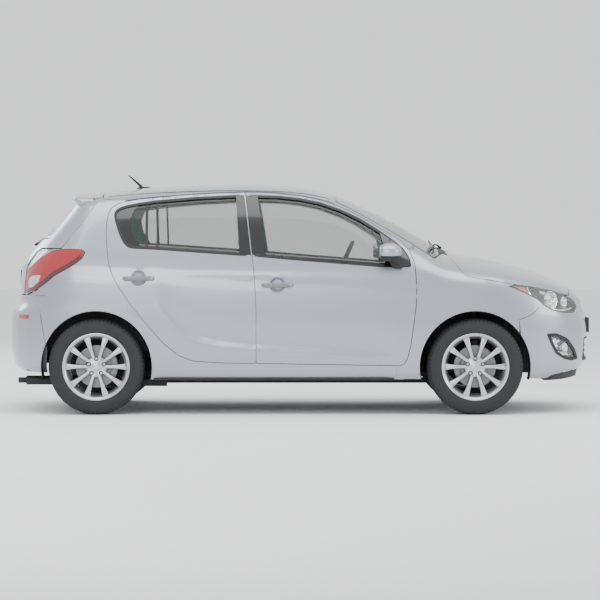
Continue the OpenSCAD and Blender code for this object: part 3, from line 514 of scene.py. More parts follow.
rearWindow = softLoop([(-398, 1459), (-424, 1459), (-700, 1446), (-976, 1422), (-1076, 1407),
                       (-1163, 1390), (-1209, 1374), (-1232, 1357), (-1240, 1332), (-1230, 1285),
                       (-1204, 1211), (-1175, 1151), (-1145, 1120), (-1112, 1114), (-965, 1107),
                       (-399, 1067), (-355, 1066)], 8)
wheelPlace = {"front": 1168.0, "rear": -1357.0, "height": 320.0, "arch": 372.0, "middle": 740.0}
frontArch = circle(wheelPlace["front"], wheelPlace["height"], wheelPlace["arch"])
rearArch = circle(wheelPlace["rear"], wheelPlace["height"], wheelPlace["arch"])
headlampSide = [(1380, 857), (1436, 868), (1515, 862), (1640, 838), (1730, 808), (1800, 786), (1850, 757),
                (1878, 716), (1850, 671), (1760, 675), (1690, 693), (1640, 718), (1592, 762),
                (1520, 800), (1440, 836)]
tailLampSide = [(-1430, 1085), (-1457, 1102), (-1545, 1104), (-1598, 1102), (-1668, 1088),
                (-1738, 1050), (-1798, 998), (-1848, 940), (-1905, 880), (-1905, 800),
                (-1840, 797), (-1770, 828), (-1700, 875), (-1640, 925), (-1560, 968),
                (-1500, 1002), (-1450, 1042)]
bonnetSide = [(1109, 924), (1202, 907), (1336, 884), (1470, 862), (1600, 835), (1752, 800), (1812, 790)]
tailgateSide = [(-1336, 1452), (-1400, 1362), (-1475, 1258), (-1597, 1104)]


def gapped(loop):
    # the loop drawn in by the shut line
    return offset(loop, -shutLine["gap"])


def widened(loop, distance=shutLine["gap"]):
    # the loop let out, by the shut line if nothing else is said
    return offset(loop, distance)


# Doors and the frame of their windows.
handlePlace = {"front": (-150, 866), "rear": (-1074, 910), "cup": 56.0, "length": 216.0, "tall": 30.0}
frontCup, rearCup = (circle(*handlePlace[end], handlePlace["cup"], 40) for end in ("front", "rear"))
panel("front_door_skin", "side", gapped(frontDoor), [frontWindow, frontCup], "front_door_SIDE",
      wall=shutLine["doorWall"])
panel("rear_door_skin", "side", gapped(rearDoor), [rearWindow, rearCup, widened(rearArch, 3)],
      "rear_door_SIDE", wall=shutLine["doorWall"])


def cupPress(middle):
    # a round dish, deepest in its middle
    def dish(p):
        away = np.hypot(p[:, 0] - middle[0], p[:, 2] - middle[1]) / handlePlace["cup"]
        return -17.0 * np.clip(1 - away ** 2.4, 0, 1)
    return dish


for end in ("front", "rear"):
    panel(end + "_handle_cup", "side", circle(*handlePlace[end], handlePlace["cup"] + 1, 40), [],
          end + "_door_SIDE", spacing=8, wall=2, edge=0, extra=cupPress(handlePlace[end]))

# Glass, black seals, and the black strips beside the middle pillar.
for end, window in (("front", frontWindow), ("rear", rearWindow)):
    rider = end + "_door_SIDE"
    panel(end + "_door_glass", "side", widened(window, 3), [], rider, "glass", wall=4, lift=-7,
          spacing=30, edge=0)
    blackPart(end + "_window_seal", "side", widened(window, 8), [offset(window, -9)], "trim", 4, 1.2, 14,
              0.6, body=rider)
    blackPart(end + "_glass_print", "side", offset(window, -7), [offset(window, -30)], "gloss", 1, -6,
              20, body=rider)
strips = {
    "front_pillar_strip": ("front", [(-365, 1466), (-354, 1365), (-318, 1066), (-226, 1059), (-286, 1459)]),
    "rear_pillar_strip": ("rear", [(-375, 1466), (-431, 1463), (-403, 1066), (-325, 1064), (-361, 1365)]),
    "mirror_patch": ("front", [(532, 1216), (632, 1146), (690, 1094), (722, 1043), (736, 988), (560, 988),
                               (575, 1060)]),
    "rear_glass_bar": ("rear", [(-1036, 1416), (-1018, 1418), (-1014, 1108), (-1032, 1109)]),
    "rear_glass_rail": ("rear", [(-962, 1425), (-948, 1427), (-944, 1105), (-957, 1105)]),
    "rear_glass_patch": ("rear", [(-1240, 1345), (-1160, 1390), (-1064, 1408), (-1112, 1370), (-1142, 1300),
                                  (-1130, 1230), (-1086, 1150), (-1050, 1112), (-1145, 1122),
                                  (-1204, 1211), (-1230, 1285)])}
for name, (end, points) in strips.items():
    look = "gloss" if "patch" in name or "strip" in name else "trim"
    lift = -4.5 if name.startswith("rear_glass") else 1.6
    blackPart(name, "side", softLoop(points, 2.5, 5), [], look, 3, lift, 16, 0.6,
              body=end + "_door_SIDE")

# Side of the body round the doors: sill, rear quarter and the foot of the screen pillar.
roofEdge = [(236, 1410), (134, 1440), (0, 1466), (-201, 1489), (-369, 1492), (-600, 1483),
            (-800, 1470), (-1072, 1446), (-1172, 1432), (-1250, 1432), (-1327, 1444)]
screenEdge = [(236, 548), (500, 600), (760, 655), (900, 690)]
screenEdge = fromTop(*np.array(screenEdge, float).T)[:, [0, 2]]
quarter = softLoop([(-1327, 1443), (-1250, 1431), (-1172, 1431), (-1150, 1380), (-1150, 300),
                    (-1690, 290), (-1690, 420), (-1740, 700), (-1702, 790), (-1712, 800),
                    (-1760, 840), (-1650, 980), (-1500, 1104)] + tailgateSide[::-1], 4)
tailLampFlat = softLoop(tailLampSide, 8)
panel("rear_quarter", "side", quarter, [widened(rearDoor), rearArch, widened(tailLampFlat, 1.5)], "shell",
      edge=1.0)
sill = softLoop([(-1010, 236), (-1010, 420), (-900, 560), (-700, 420), (-292, 400), (600, 400),
                 (640, 380), (640, 236)], 3)
panel("sill_skin", "side", sill, [widened(rearDoor), widened(frontDoor), rearArch], "shell")
pillarTop = softLoop(screenEdge[:3].tolist() + [(700, 1090), (650, 1150), (400, 1290), (134, 1400),
                                                (134, 1437), (236, 1407)], 3)
panel("screen_pillar", "side", offset(pillarTop, -0.5), [widened(frontDoor)], "shell", spacing=14)

# Front wing.
wing = softLoop([(642, 236), (642, 420), (700, 600), (700, 1020), (735, 1090), (762, 1103)]
                + screenEdge[2:].tolist() + [(960, 1070), (1000, 1062), (1022, 1044), (1049, 998),
                                             (1082, 944), (1109, 924)] + bonnetSide[1:5]
                + [(1603, 720), (1564, 679), (1517, 653), (1463, 634), (1470, 236)], 3)
panel("front_wing", "side", offset(wing, -2.0), [widened(frontDoor), frontArch,
                                                 softLoop(headlampSide, 8)], "shell")

# Roof with its two ditch mouldings, and the strip above the tailgate.
roofSide = fromSide(*np.array(roofEdge, float).T)[:, [0, 1]]
roof = softLoop(bothHalves(roofSide), 5, 10)
panel("roof_skin", "top", offset(roof, -0.8), [], "shell", sides="M", spacing=36)
mouldingLine = np.array([(200, 520), (0, 527), (-400, 532), (-900, 528), (-1290, 512)], float)
moulding = softLoop(np.vstack([mouldingLine - [0, 5], (mouldingLine + [0, 5])[::-1]]), 0)
blackPart("roof_moulding", "top", moulding, [], "trim", 3, 0.8, 20)

# Bonnet: rear edge straight, sides and front from the side view.
bonnetEdge = onFlank([(1022, 1044), (1049, 998), (1082, 944), (1109, 924)] + bonnetSide[1:])
frontLine = np.stack([np.linspace(1812, 1832, 9), np.linspace(790, 848, 9)], 1)
bonnetFront = onFlank(frontLine[1:])
bonnetHalf = np.vstack([[[1003, 0, 0]], [[1003, 560, 0]], bonnetEdge, bonnetFront])[:, :2]
bonnetHalf[-1, 1] = 0
bonnet = softLoop(bothHalves(bonnetHalf), 7, 9)


def bonnetPress(p):
    # two soft swages that run forwards and towards each other
    line = 360 - 0.12 * (p[:, 0] - 1000)
    return 3.0 * np.exp(-((np.abs(p[:, 1]) - line) / 34) ** 2) * (p[:, 0] > 0) - 3.0


panel("bonnet_skin", "top", gapped(bonnet), [], "bonnet", sides="M", spacing=26, extra=bonnetPress)

# Windscreen with its black border, and the cowl.
screenHalf = np.array([(236, 548), (500, 600), (760, 655), (900, 690), (935, 560), (950, 0)], float)
screen = softLoop(bothHalves(screenHalf), 10, 12)
panel("windscreen_glass", "top", offset(screen, -1.5), [], "shell", "glass", wall=4,
      lift=-2.5, sides="M", spacing=36, edge=0)
blackPart("windscreen_border", "top", offset(screen, -1.5), [offset(screen, -30)], "gloss", 1.2, -1.0,
          24, sides="M")
print("upper body ready")

# Front end.
nosePoints = onFlank([(1474, 236), (1463, 632), (1517, 651), (1564, 677), (1603, 717), (1560, 780),
                      (1600, 829), (1752, 794)])
noseEdge = np.vstack([nosePoints, onFlank(frontLine + [1.5, -5.0])])
noseEdge[-1, 1] = 0
noseLoop = softLoop(acrossBody("front", noseEdge), 3, 9)
headlampFlat = flankShape(headlampSide, 8)
fogFlat = flankShape([(1648, 538), (1720, 540), (1800, 504), (1858, 430), (1882, 360), (1832, 350),
                      (1776, 362), (1714, 402), (1678, 468)], 8)
grilleFlat = noseShape([(-385, 752), (385, 752), (352, 652), (-352, 652)], 14)
intakeFlat = noseShape([(-400, 506), (400, 506), (430, 345), (-430, 345)], 18)


def otherSide(loop):
    # the same loop on the car's right
    return loop * [-1, 1]


# The part of the front arch that the bumper meets, closed behind it.
aheadOfWheel = np.cos(np.linspace(0, 2 * math.pi, len(frontArch), endpoint=False)) > 0.2
archFront = views["front"][1](onFlank(frontArch[aheadOfWheel]))
archFront = np.vstack([archFront[np.argsort(archFront[:, 1])], [[1100, 760], [1100, 100]]])
panel("front_bumper_skin", "front", noseLoop,
      [headlampFlat, otherSide(headlampFlat), fogFlat, otherSide(fogFlat), grilleFlat, intakeFlat,
       archFront, otherSide(archFront)], "shell", sides="M", spacing=24)
panel("headlamp_cover", "front", offset(headlampFlat, -1.5), [], "shell", "clear", wall=2.5,
      lift=-0.5, spacing=16, edge=0.6)
blackPart("headlamp_bowl", "front", offset(headlampFlat, -1.0), [], "trim", 3, -62, 20)

# Rear end.
rearEdge = onFlank([(-1690, 276), (-1690, 420), (-1740, 700), (-1702, 790), (-1780, 791), (-1862, 791)])
rearEdge = np.vstack([rearEdge, acrossEnd([(400, 791), (0, 791)], -1)])
rearLoop = softLoop(acrossBody("rear", rearEdge), 3, 9)
tailLampFlat = tailFlank(tailLampSide)
gateEdge = np.vstack([acrossEnd([(0, 799), (528, 799), (529, 1000), (534, 1088), (560, 1110)], -1),
                      onFlank([(-1597, 1108)] + tailgateSide[2:0:-1] + [(-1382, 1390)])])
gateEdge = np.vstack([gateEdge, acrossEnd([(450, 1448), (0, 1452)], -1)])
gateLoop = softLoop(acrossBody("rear", gateEdge), 5, 9)
rearWindowFlat = tailShape([(-556, 1168), (556, 1168), (516, 1300), (466, 1402), (300, 1424),
                            (-300, 1424), (-466, 1402), (-516, 1300)], 16)
lampHole = widened(tailLampFlat, 1.5)
panel("rear_bumper_skin", "rear", rearLoop, [lampHole, otherSide(lampHole)], "shell", sides="M",
      spacing=26)


def platePress(p):
    # the number plate's hollow, a flat-bottomed dip with soft edges
    across = 1 / (1 + np.exp((np.abs(p[:, 1]) - 290) / 7))
    up = 1 / (1 + np.exp((np.abs(p[:, 2] - 900) - 78) / 6))
    return -16.0 * across * up


panel("tailgate_skin", "rear", gapped(gateLoop), [rearWindowFlat], "tailgate", sides="M", spacing=24,
      extra=platePress)
panel("tailgate_window", "rear", widened(rearWindowFlat, 1), [], "tailgate", "glass", wall=4,
      lift=-5, sides="M", spacing=30, edge=0)
panel("tail_lamp_cover", "rear", offset(tailLampFlat, -1.0), [], "shell", "red", wall=6,
      spacing=16, edge=1.0)
print("ends ready")


# Walls behind the skins.
def inwardDepth(points):
    # distance to the body's surface and the way inwards, from the slope of the half width
    x, y, z = points.T
    width = halfWidth(x, z)
    slopeX = (halfWidth(x + 2, z) - halfWidth(x - 2, z)) / 4
    slopeZ = (halfWidth(x, z + 2) - halfWidth(x, z - 2)) / 4
    way = np.stack([slopeX, -np.sign(y), slopeZ], 1)
    size = np.linalg.norm(way, axis=1)
    return (width - np.abs(y)) / size, way / size[:, None]


def wallCopy(node, body, outer, inner, push):
    # the CAD wall, merged, each point nearer the surface than push moved in to that depth
    source = bmesh.new()
    source.from_mesh(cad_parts[node].data)
    bmesh.ops.remove_doubles(source, verts=source.verts, dist=1e-5)
    source.verts.ensure_lookup_table()
    points = np.array([v.co for v in source.verts]) / mm
    faces = [[v.index for v in f.verts] for f in source.faces]
    source.free()
    points[:, 0] = np.clip(points[:, 0], np.interp(points[:, 2], *tail) + 22,
                           np.interp(points[:, 2], *nose) - 14)
    depth, way = inwardDepth(points)
    move = np.where((depth < push) & (depth > -30), push - depth, 0)
    points = points + way * np.minimum(move, 40)[:, None]
    piece = putMesh(node + "_wall", points, faces, [outer, inner, "chassis"], body,
                    smooth=False, replaces=[node])
    middle = np.array([points[f].mean(0) for f in faces])
    deep, way = inwardDepth(middle)
    normals = np.empty(3 * len(faces), np.float32)
    piece.data.polygons.foreach_get("normal", normals)
    turnedIn = (normals.reshape(-1, 3) * way).sum(1) > 0.5
    # faces of the wheel arches are dark
    reach = np.minimum(*(np.hypot(middle[:, 0] - wheelPlace[end], middle[:, 2] - wheelPlace["height"])
                         for end in ("front", "rear")))
    look = np.where(reach < 385, 2, turnedIn & (deep > 15)).astype(np.int32)
    piece.data.polygons.foreach_set("material_index", look)


# Node, body, outer look, inner look, and how deep in millimetres its outer face goes.
walls = [("roof_panel", "shell", "paint", "lining", 7.5), ("front_bumper", "shell", "trim", "trim", 20),
         ("rear_bumper", "shell", "trim", "trim", 20), ("bonnet", "bonnet", "paint", "paint", 7.5),
         ("tailgate", "tailgate", "paint", "lining", 7.5)]
for mark in ("left", "right"):
    walls += [("side_frame_" + mark, "shell", "paint", "lining", 7.5),
              ("front_fender_" + mark, "shell", "chassis", "chassis", 7.5),
              ("front_door_" + mark, "front_door_" + mark, "paint", "lining", 13),
              ("rear_door_" + mark, "rear_door_" + mark, "paint", "lining", 13)]
for node, body, outer, inner, push in walls:
    wallCopy(node, body, outer, inner, push)
print("walls ready")


# General shapes.
def gridFaces(rows, columns, ringed=True):
    # quads of a grid whose columns close into a ring
    i, j = np.meshgrid(np.arange(rows - 1), np.arange(columns if ringed else columns - 1), indexing="ij")
    k = (j + 1) % columns
    return np.stack([i * columns + j, i * columns + k, (i + 1) * columns + k,
                     (i + 1) * columns + j], -1).reshape(-1, 4)


def revolve(profile, count=96, arc=2 * math.pi, wave=None):
    # the profile [radius, y] turned about the y axis; wave adds to the radius at each angle
    profile = np.array(profile, float)
    ringed = arc > 6.28
    angle = np.linspace(0, arc, count, endpoint=not ringed)
    radius = profile[:, :1] + (0 if wave is None else wave(angle[None], profile))
    points = np.stack([radius * np.cos(angle), profile[:, 1:] + 0 * angle, radius * np.sin(angle)], -1)
    return points.reshape(-1, 3), gridFaces(len(profile), count, ringed)


def tube(path, wide, tall, sides=20, up=(0, 0, 1), power=2.4):
    # a superellipse carried along the path, closed at its ends by its last rings
    path = np.array(path, float)
    tangent = np.gradient(path, axis=0)
    tangent /= np.linalg.norm(tangent, axis=1)[:, None] + 1e-9
    across = np.cross(tangent, np.array(up, float))
    across /= np.linalg.norm(across, axis=1)[:, None] + 1e-9
    rise = np.cross(across, tangent)
    angle = np.linspace(0, 2 * math.pi, sides, endpoint=False)
    c, s = (np.sign(f) * np.abs(f) ** (2 / power) for f in (np.cos(angle), np.sin(angle)))
    wide, tall = (np.broadcast_to(np.array(v, float), len(path))[:, None, None] for v in (wide, tall))
    points = path[:, None] + across[:, None] * wide * c[None, :, None]
    points = points + rise[:, None] * tall * s[None, :, None]
    faces = gridFaces(len(path), sides).tolist()
    last = (len(path) - 1) * sides
    faces += [list(range(sides))[::-1], list(range(last, last + sides))]
    return points.reshape(-1, 3), faces


def curveThrough(points, count=24):
    # a smooth path through the points, as a cubic with tangents half the way between neighbours
    p = np.array(points, float)
    tangent = np.gradient(p, axis=0)
    s = np.linspace(0, len(p) - 1, count)
    k = np.minimum(s.astype(int), len(p) - 2)
    t = (s - k)[:, None]
    return ((1 + 2 * t) * (1 - t) ** 2 * p[k] + t * (1 - t) ** 2 * tangent[k]
            + t * t * (3 - 2 * t) * p[k + 1] + t * t * (t - 1) * tangent[k + 1])


def rounded(count, blunt=0.22):
    # half widths that start and end near zero like a rounded bar, one in the middle
    s = np.linspace(0, 1, count)
    near = np.clip(np.minimum(s, 1 - s) / blunt, 0, 1)
    return np.sqrt(np.clip(1 - (1 - near) ** 2, 0.0004, 1))


def merge(parts):
    # several [points, faces] as one mesh
    points, faces, start = [], [], 0
    for p, f in parts:
        points.append(p)
        faces += [[int(i) + start for i in face] for face in f]
        start += len(p)
    return np.vstack(points), faces


def blob(middle, size, power=(2.6, 2.6), lean=0.0, rows=28, columns=48, shape=None):
    # a superellipsoid: rounded box with the half sizes given, leant over towards -x as it rises
    v = np.linspace(-math.pi / 2, math.pi / 2, rows)[:, None]
    u = np.linspace(0, 2 * math.pi, columns, endpoint=False)[None]
    def soft(f, n):
        return np.sign(f) * np.abs(f) ** (2 / n)
    p = np.stack([soft(np.cos(v), power[0]) * soft(np.cos(u), power[1]),
                  soft(np.cos(v), power[0]) * soft(np.sin(u), power[1]),
                  soft(np.sin(v), power[0]) + 0 * u], -1).reshape(-1, 3)
    if shape is not None:
        p = shape(p)
    p = p * np.array(size, float)
    p[:, 0] -= lean * p[:, 2]
    return p + np.array(middle, float), gridFaces(rows, columns)


def addPiece(name, parts, material, body, both=False, smooth=True, replaces=(), bevel=0.0, crisp=40):
    # one piece, or a mirrored pair, with creases kept where faces meet sharply
    points, faces = merge(parts) if isinstance(parts, list) else parts
    made = []
    for mark in (("left", "right") if both else ("",)):
        label = name + ("_" + mark if mark else "")
        piece = putMesh(label, points, faces, material, body.replace("SIDE", mark), smooth,
                        [r.replace("SIDE", mark) for r in replaces], mirrored=mark == "right")
        if crisp:
            piece.data.set_sharp_from_angle(angle=math.radians(crisp))
        if bevel:
            rounding = piece.modifiers.new("edge", "BEVEL")
            rounding.width, rounding.segments, rounding.limit_method = bevel * mm, 2, "ANGLE"
            rounding.angle_limit = math.radians(40)
        made.append(piece)
    return made


def boxPart(low, high):
    # a block between two corners
    c = np.array([[(low, high)[(i >> k) & 1][k] for k in range(3)] for i in range(8)], float)
    return c, [[0, 2, 3, 1], [4, 5, 7, 6], [0, 1, 5, 4], [2, 6, 7, 3], [0, 4, 6, 2], [1, 3, 7, 5]]


def turned(part, angles, middle=(0, 0)):
    # copies of a part turned about the y axis
    p, f = part
    made = []
    for a in angles:
        x, z = p[:, 0] - middle[0], p[:, 2] - middle[1]
        made.append((np.stack([x * math.cos(a) - z * math.sin(a) + middle[0], p[:, 1],
                               x * math.sin(a) + z * math.cos(a) + middle[1]], 1), f))
    return merge(made)


def moved(part, shift):
    return part[0] + np.array(shift, float), part[1]


# Wheels.
wheelShape = {"spokes": 10, "nuts": 5, "nutCircle": 54.0, "face": 60.0}
# Turned profiles, [radius, y] from the wheel's middle plane outwards.
rimProfile = [(205, -84), (222, -89), (224, -84), (212, -78), (208, -60), (190, -40), (188, 20),
              (200, 60), (207, 74), (213, 79), (222, 84), (224, 89), (220, 90), (212, 86), (206, 80),
              (201, 74), (196, 60), (183, 20), (184, -40), (200, -62), (205, -84)]
tyreProfile = [(223, -87), (229, -93), (243, -96.5), (268, -97.5), (290, -92), (305, -84), (313, -76),
               (317, -66), (319, -52), (319.6, -49), (312, -48), (312, -41), (319.8, -40), (320, -17),
               (312, -16), (312, -8), (320, -7), (320, 7), (312, 8), (312, 16), (320, 17), (319.8, 40),
               (312, 41), (312, 48), (319.6, 49), (319, 52), (317, 66), (313, 76), (305, 84), (297, 89),
               (296, 90.5), (290, 92), (270, 97), (268, 97.5), (243, 96.5), (240, 95), (229, 93), (223, 87)]


def treadWave(angle, profile):
    # shoulder blocks cut by slots: the radius drops 5 mm over a third of each pitch
    shoulder = ((np.abs(profile[:, 1]) > 50) & (profile[:, 0] > 304))[:, None]
    middle = ((np.abs(profile[:, 1]) < 40) & (profile[:, 0] > 318))[:, None]
    pitch = (angle * 72 / (2 * math.pi)) % 1
    return -5.0 * shoulder * (pitch < 0.25) - 2.2 * middle * (((pitch + 0.5) % 1) < 0.2)


def spokePart():
    # a bar whose width grows to the rim and whose crown falls from hub to rim
    n = 22
    s = np.linspace(0, 1, n)
    path = np.stack([46 + 156 * s, wheelShape["face"] + 10 * np.sin(math.pi * s) + 10 * s - 15, 0 * s], 1)
    wide = 13 + 10.5 * s ** 1.4 - 4 * np.sin(math.pi * s)
    return tube(path, wide, 15 - 3 * s, 16, up=(0, 1, 0), power=2.8)


hubProfile = [(0.5, 66), (20, 66), (26, 65), (28, 62), (30, 61), (62, 58), (68, 54), (72, 46), (72, 30)]
discProfile = [(60, -2), (140, -2), (140, 6), (141, 6), (141, 14), (70, 14), (68, 26), (60, 27)]
nutProfile = [(0.3, 68), (7.5, 68), (9.8, 65.5), (10.2, 54)]
seatProfile = [(9, 63.4), (15, 63.2), (15.6, 62.4), (15.6, 56)]
capProfile = [(0.3, 68.5), (22, 68), (25, 66), (25.5, 60)]
valveProfile = [(0.3, 12), (3.4, 11), (3.6, -6)]
spokeAngles = np.arange(wheelShape["spokes"]) * 2 * math.pi / wheelShape["spokes"]
nutAngles = np.arange(wheelShape["nuts"]) * 2 * math.pi / wheelShape["nuts"] + math.pi / 2
nutPlace = (wheelShape["nutCircle"], 0, 0)
rimParts = {"rim": (revolve(rimProfile, 120), "alloy"),
            "tyre": (revolve(tyreProfile, 432, wave=treadWave), "rubber"),
            "spokes": (turned(spokePart(), spokeAngles), "alloy"),
            "hub": (revolve(hubProfile, 64), "alloy"),
            "nuts": (turned(moved(revolve(nutProfile, 12), nutPlace), nutAngles), "steel"),
            "nut_seats": (turned(moved(revolve(seatProfile, 24), nutPlace), nutAngles), "gloss"),
            "cap": (revolve(capProfile, 48), "alloy"),
            "brake_disc": (revolve(discProfile, 96), "iron"),
            "valve": (moved(revolve(valveProfile, 12), (196, 66, 10)), "trim")}
for end in ("front", "rear"):
    place = [wheelPlace[end], wheelPlace["middle"], wheelPlace["height"]]
    for mark in ("left", "right"):
        rider = "wheel_%s_%s" % (end, mark)
        for name, ((points, faces), material) in rimParts.items():
            node = {"rim": [rider], "tyre": ["tyre_%s_%s" % (end, mark)]}.get(name, ())
            piece = putMesh("%s_%s_%s" % (name, end, mark), points + place, faces, material, rider,
                            replaces=node, mirrored=mark == "right")
            piece.data.set_sharp_from_angle(angle=math.radians(38))

# Brake calipers stand on the knuckles in front and on the axle behind.
caliperArc = np.linspace(math.radians(140), math.radians(215), 14)
for end, rider in (("front", "knuckle_SIDE"), ("rear", "shell")):
    arc = caliperArc if end == "front" else math.pi - caliperArc[::-1]
    path = np.stack([wheelPlace[end] + 118 * np.cos(arc), 0 * arc + wheelPlace["middle"] - 3,
                     wheelPlace["height"] + 118 * np.sin(arc)], 1)
    addPiece(end + "_caliper", tube(path, 24 * rounded(14), 20, 16, up=(0, 1, 0), power=5), "cast",
             rider, both=True)
print("wheels ready")

# Lamps and grilles.
def aimed(part, place, way):
    # a turned part whose y axis is laid along the way given
    way = np.array(way, float) / np.linalg.norm(way)
    across = np.cross(way, [0, 0, 1.0])
    across /= np.linalg.norm(across)
    rise = np.cross(across, way)
    p = part[0]
    return p[:, :1] * across + p[:, 1:2] * way + p[:, 2:3] * rise + np.array(place, float), part[1]


reflector = revolve([(3, -34), (12, -33), (26, -26), (38, -12), (46, 2), (50, 12), (54, 13), (54, 8)], 48)
bulb = revolve([(0.3, 4), (7, 2), (9, -6), (9, -24), (5, -30)], 24)
# Reflectors and bulbs: side-view place, size, and the way they face.
lampParts = {"inner": ((1688, 762), 1.1, (0.60, 0.80, 0.08)),
             "outer": ((1790, 744), 0.82, (0.84, 0.54, 0.04))}
for name, (lampPlace, size, way) in lampParts.items():
    place = onFlank([lampPlace])[0] - 26 * np.array(way)
    for part, shape, look in (("reflector_", reflector, "mirror"), ("bulb_", bulb, "steel")):
        addPiece("headlamp_" + part + name, aimed((shape[0] * size, shape[1]), place, way), look,
                 "shell", True)
panel("turn_signal_lens", "front", flankShape([(1404, 857), (1440, 864), (1504, 859), (1512, 840),
                                               (1536, 798), (1496, 816)], 3),
      [], "shell", "amber", wall=4, lift=-9, spacing=12, edge=0.8)
panel("headlamp_chrome_line", "front", flankShape(
    [(1521, 853), (1545, 798), (1596, 744), (1673, 706), (1767, 697), (1838, 708), (1838, 699),
     (1767, 687), (1673, 696), (1590, 737), (1537, 794), (1513, 853)], 1.5),
      [], "shell", "mirror", wall=5, lift=-7, spacing=9, edge=0.8)
blackPart("headlamp_rim", "front", offset(headlampFlat, -1.0), [offset(headlampFlat, -9)], "gloss", 9,
          -1.2, 12)
blackPart("fog_lamp_surround", "front", offset(fogFlat, -1.0), [offset(fogFlat, -20)], "trim", 26, -2,
          14, 1.5)
panel("fog_lamp_lens", "front", offset(fogFlat, -19), [], "shell", "clear", wall=3, lift=-9,
      spacing=14, edge=0.8)
panel("fog_lamp_bowl", "front", offset(fogFlat, -18), [], "shell", "mirror", wall=2, lift=-34,
      spacing=14, edge=0, extra=lambda p: 4 * np.sin(p[:, 0] / 6) * np.sin(p[:, 2] / 9))
fogReflector = aimed((reflector[0] * 0.72, reflector[1]), (1772, 612, 438), (0.82, 0.56, 0.02))
addPiece("fog_lamp_reflector", fogReflector, "mirror", "shell", True)
blackPart("grille_back", "front", widened(grilleFlat, 5), [], "trim", 4, -46, 30, sides="M")
blackPart("intake_back", "front", widened(intakeFlat, 5), [], "trim", 4, -44, 30, sides="M")
blackPart("grille_frame", "front", widened(grilleFlat, 1), [offset(grilleFlat, -11)], "gloss", 30, 0.5,
          16, 1.5, "M")
blackPart("intake_frame", "front", widened(intakeFlat, 1), [offset(intakeFlat, -13)], "trim", 34, 0.3,
          16, 1.5, "M")


def noseBar(name, low, high, look, wall, lift, spacing, soften=1.5, edge=1.5):
    # a bar across the nose between two corners [y, z]
    corners = [(low[0], high[1]), high, (high[0], low[1]), low]
    blackPart(name, "front", noseShape(corners, soften), [], look, wall, lift, spacing, edge, "M")


for k, height in enumerate(np.linspace(672, 732, 3)):
    half = 338 + 0.35 * (height - 652)
    noseBar("grille_bar_%d" % k, (-half, height - 5), (half, height + 5),
            "mirror" if k == 2 else "gloss", 22, -9, 16)
for k, height in enumerate(np.linspace(372, 480, 4)):
    half = 405 - 0.1 * (height - 372)
    noseBar("intake_bar_%d" % k, (-half, height - 5), (half, height + 5), "trim", 22, -14, 18)
for k, y in enumerate(np.linspace(-300, 300, 7)):
    noseBar("intake_rib_%d" % k, (y - 4, 352), (y + 4, 500), "trim", 16, -20, 18, 1, 0)

# Panels that stand for a CAD node.
standsFor = {"grille_frame": "front_grille", "intake_frame": "front_grille",
             "windscreen_glass": "windscreen", "tailgate_window": "tailgate_glass"}
for mark in ("_left", "_right"):
    standsFor.update({"headlamp_cover" + mark: "headlamps", "fog_lamp_surround" + mark: "fog_lamps",
                      "tail_lamp_cover" + mark: "tail_lamps",
                      "front_door_glass" + mark: "front_glass" + mark,
                      "rear_door_glass" + mark: "rear_glass" + mark})
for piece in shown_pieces():
    if piece.name in standsFor:
        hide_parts(standsFor[piece.name])


lowerEdge = np.array([(-1840, 799), (-1770, 829), (-1700, 876), (-1640, 926), (-1560, 969), (-1500, 1004),
                      (-1450, 1044)], float)
bandShape = tailFlank(np.vstack([lowerEdge + [0, 4], (lowerEdge + [-16, 24])[::-1]]), 3)
panel("tail_lamp_dark_band", "rear", bandShape, [], "shell", "darkRed", wall=2, lift=0.6,
      spacing=12, edge=0.5)
reverseShape = tailFlank([(-1826, 900), (-1796, 924), (-1736, 929), (-1752, 884), (-1798, 846),
                          (-1826, 842)], 4)
panel("tail_lamp_reverse_lens", "rear", reverseShape, [], "shell", "mirror", wall=2,
      lift=0.8, spacing=12, edge=0.5, extra=lambda p: 0.4 * np.sin(p[:, 2] / 1.6))
blackPart("tail_lamp_rim", "rear", widened(tailLampFlat, 0.8), [offset(tailLampFlat, -4)], "gloss", 5,
          0.2, 14)
reflectorShape = tailFlank([(-1893, 661), (-1815, 664), (-1822, 635), (-1893, 636)], 2)
panel("rear_reflector", "rear", reflectorShape, [], "shell", "red", wall=4, lift=1.2,
      spacing=10, edge=0.8)
brakeShape = tailShape([(-170, 1415), (170, 1415), (165, 1394), (-165, 1394)], 3)
panel("high_brake_lamp", "rear", brakeShape, [], "tailgate", "red", wall=5, lift=-1,
      sides="M", spacing=14, edge=1)
blackPart("rear_glass_border", "rear", widened(rearWindowFlat, 1), [offset(rearWindowFlat, -26)],
          "gloss", 1, -4.2, 18, 0, "M", "tailgate")
barShape = tailShape([(-268, 984), (268, 984), (262, 966), (-262, 966)], 3)
blackPart("plate_lamp_bar", "rear", barShape, [], "gloss", 6, 5, 14, 1.5, "M", "tailgate")

# Blank number plates and their holders: corners, body, and the holder's x from and to.
plates = {"rear_plate": ((-1916, -260, 850), (-1913, 260, 960), "tailgate", (-1913, -1898)),
          "front_plate": ((1981.6, -260, 528), (1984.4, 260, 634), "shell", (1950, 1981.6))}
for name, (low, high, body, back) in plates.items():
    addPiece(name, boxPart(low, high), "plate", body, bevel=1.0)
    holder = boxPart((back[0], low[1] + 4, low[2] + 4), (back[1], high[1] - 4, high[2] - 4))
    addPiece(name + "_holder", holder, "trim", body, bevel=2.0)
print("lamps and grilles ready")


# Fittings.
def handleBar(middle):
    # a bar whose middle stands off the door and whose ends turn in to it
    s = np.linspace(-1, 1, 33)
    x = middle[0] + s * handlePlace["length"] / 2
    out = 24 * (1 - np.abs(s) ** 7) - 3
    z = np.full_like(x, middle[1]) + 2 * s
    path = np.stack([x, halfWidth(x, z) + out, z], 1)
    return tube(path, handlePlace["tall"] / 2 * rounded(33, 0.12), 9.5 * rounded(33, 0.08), 20,
                up=(0, 1, 0), power=2.6)


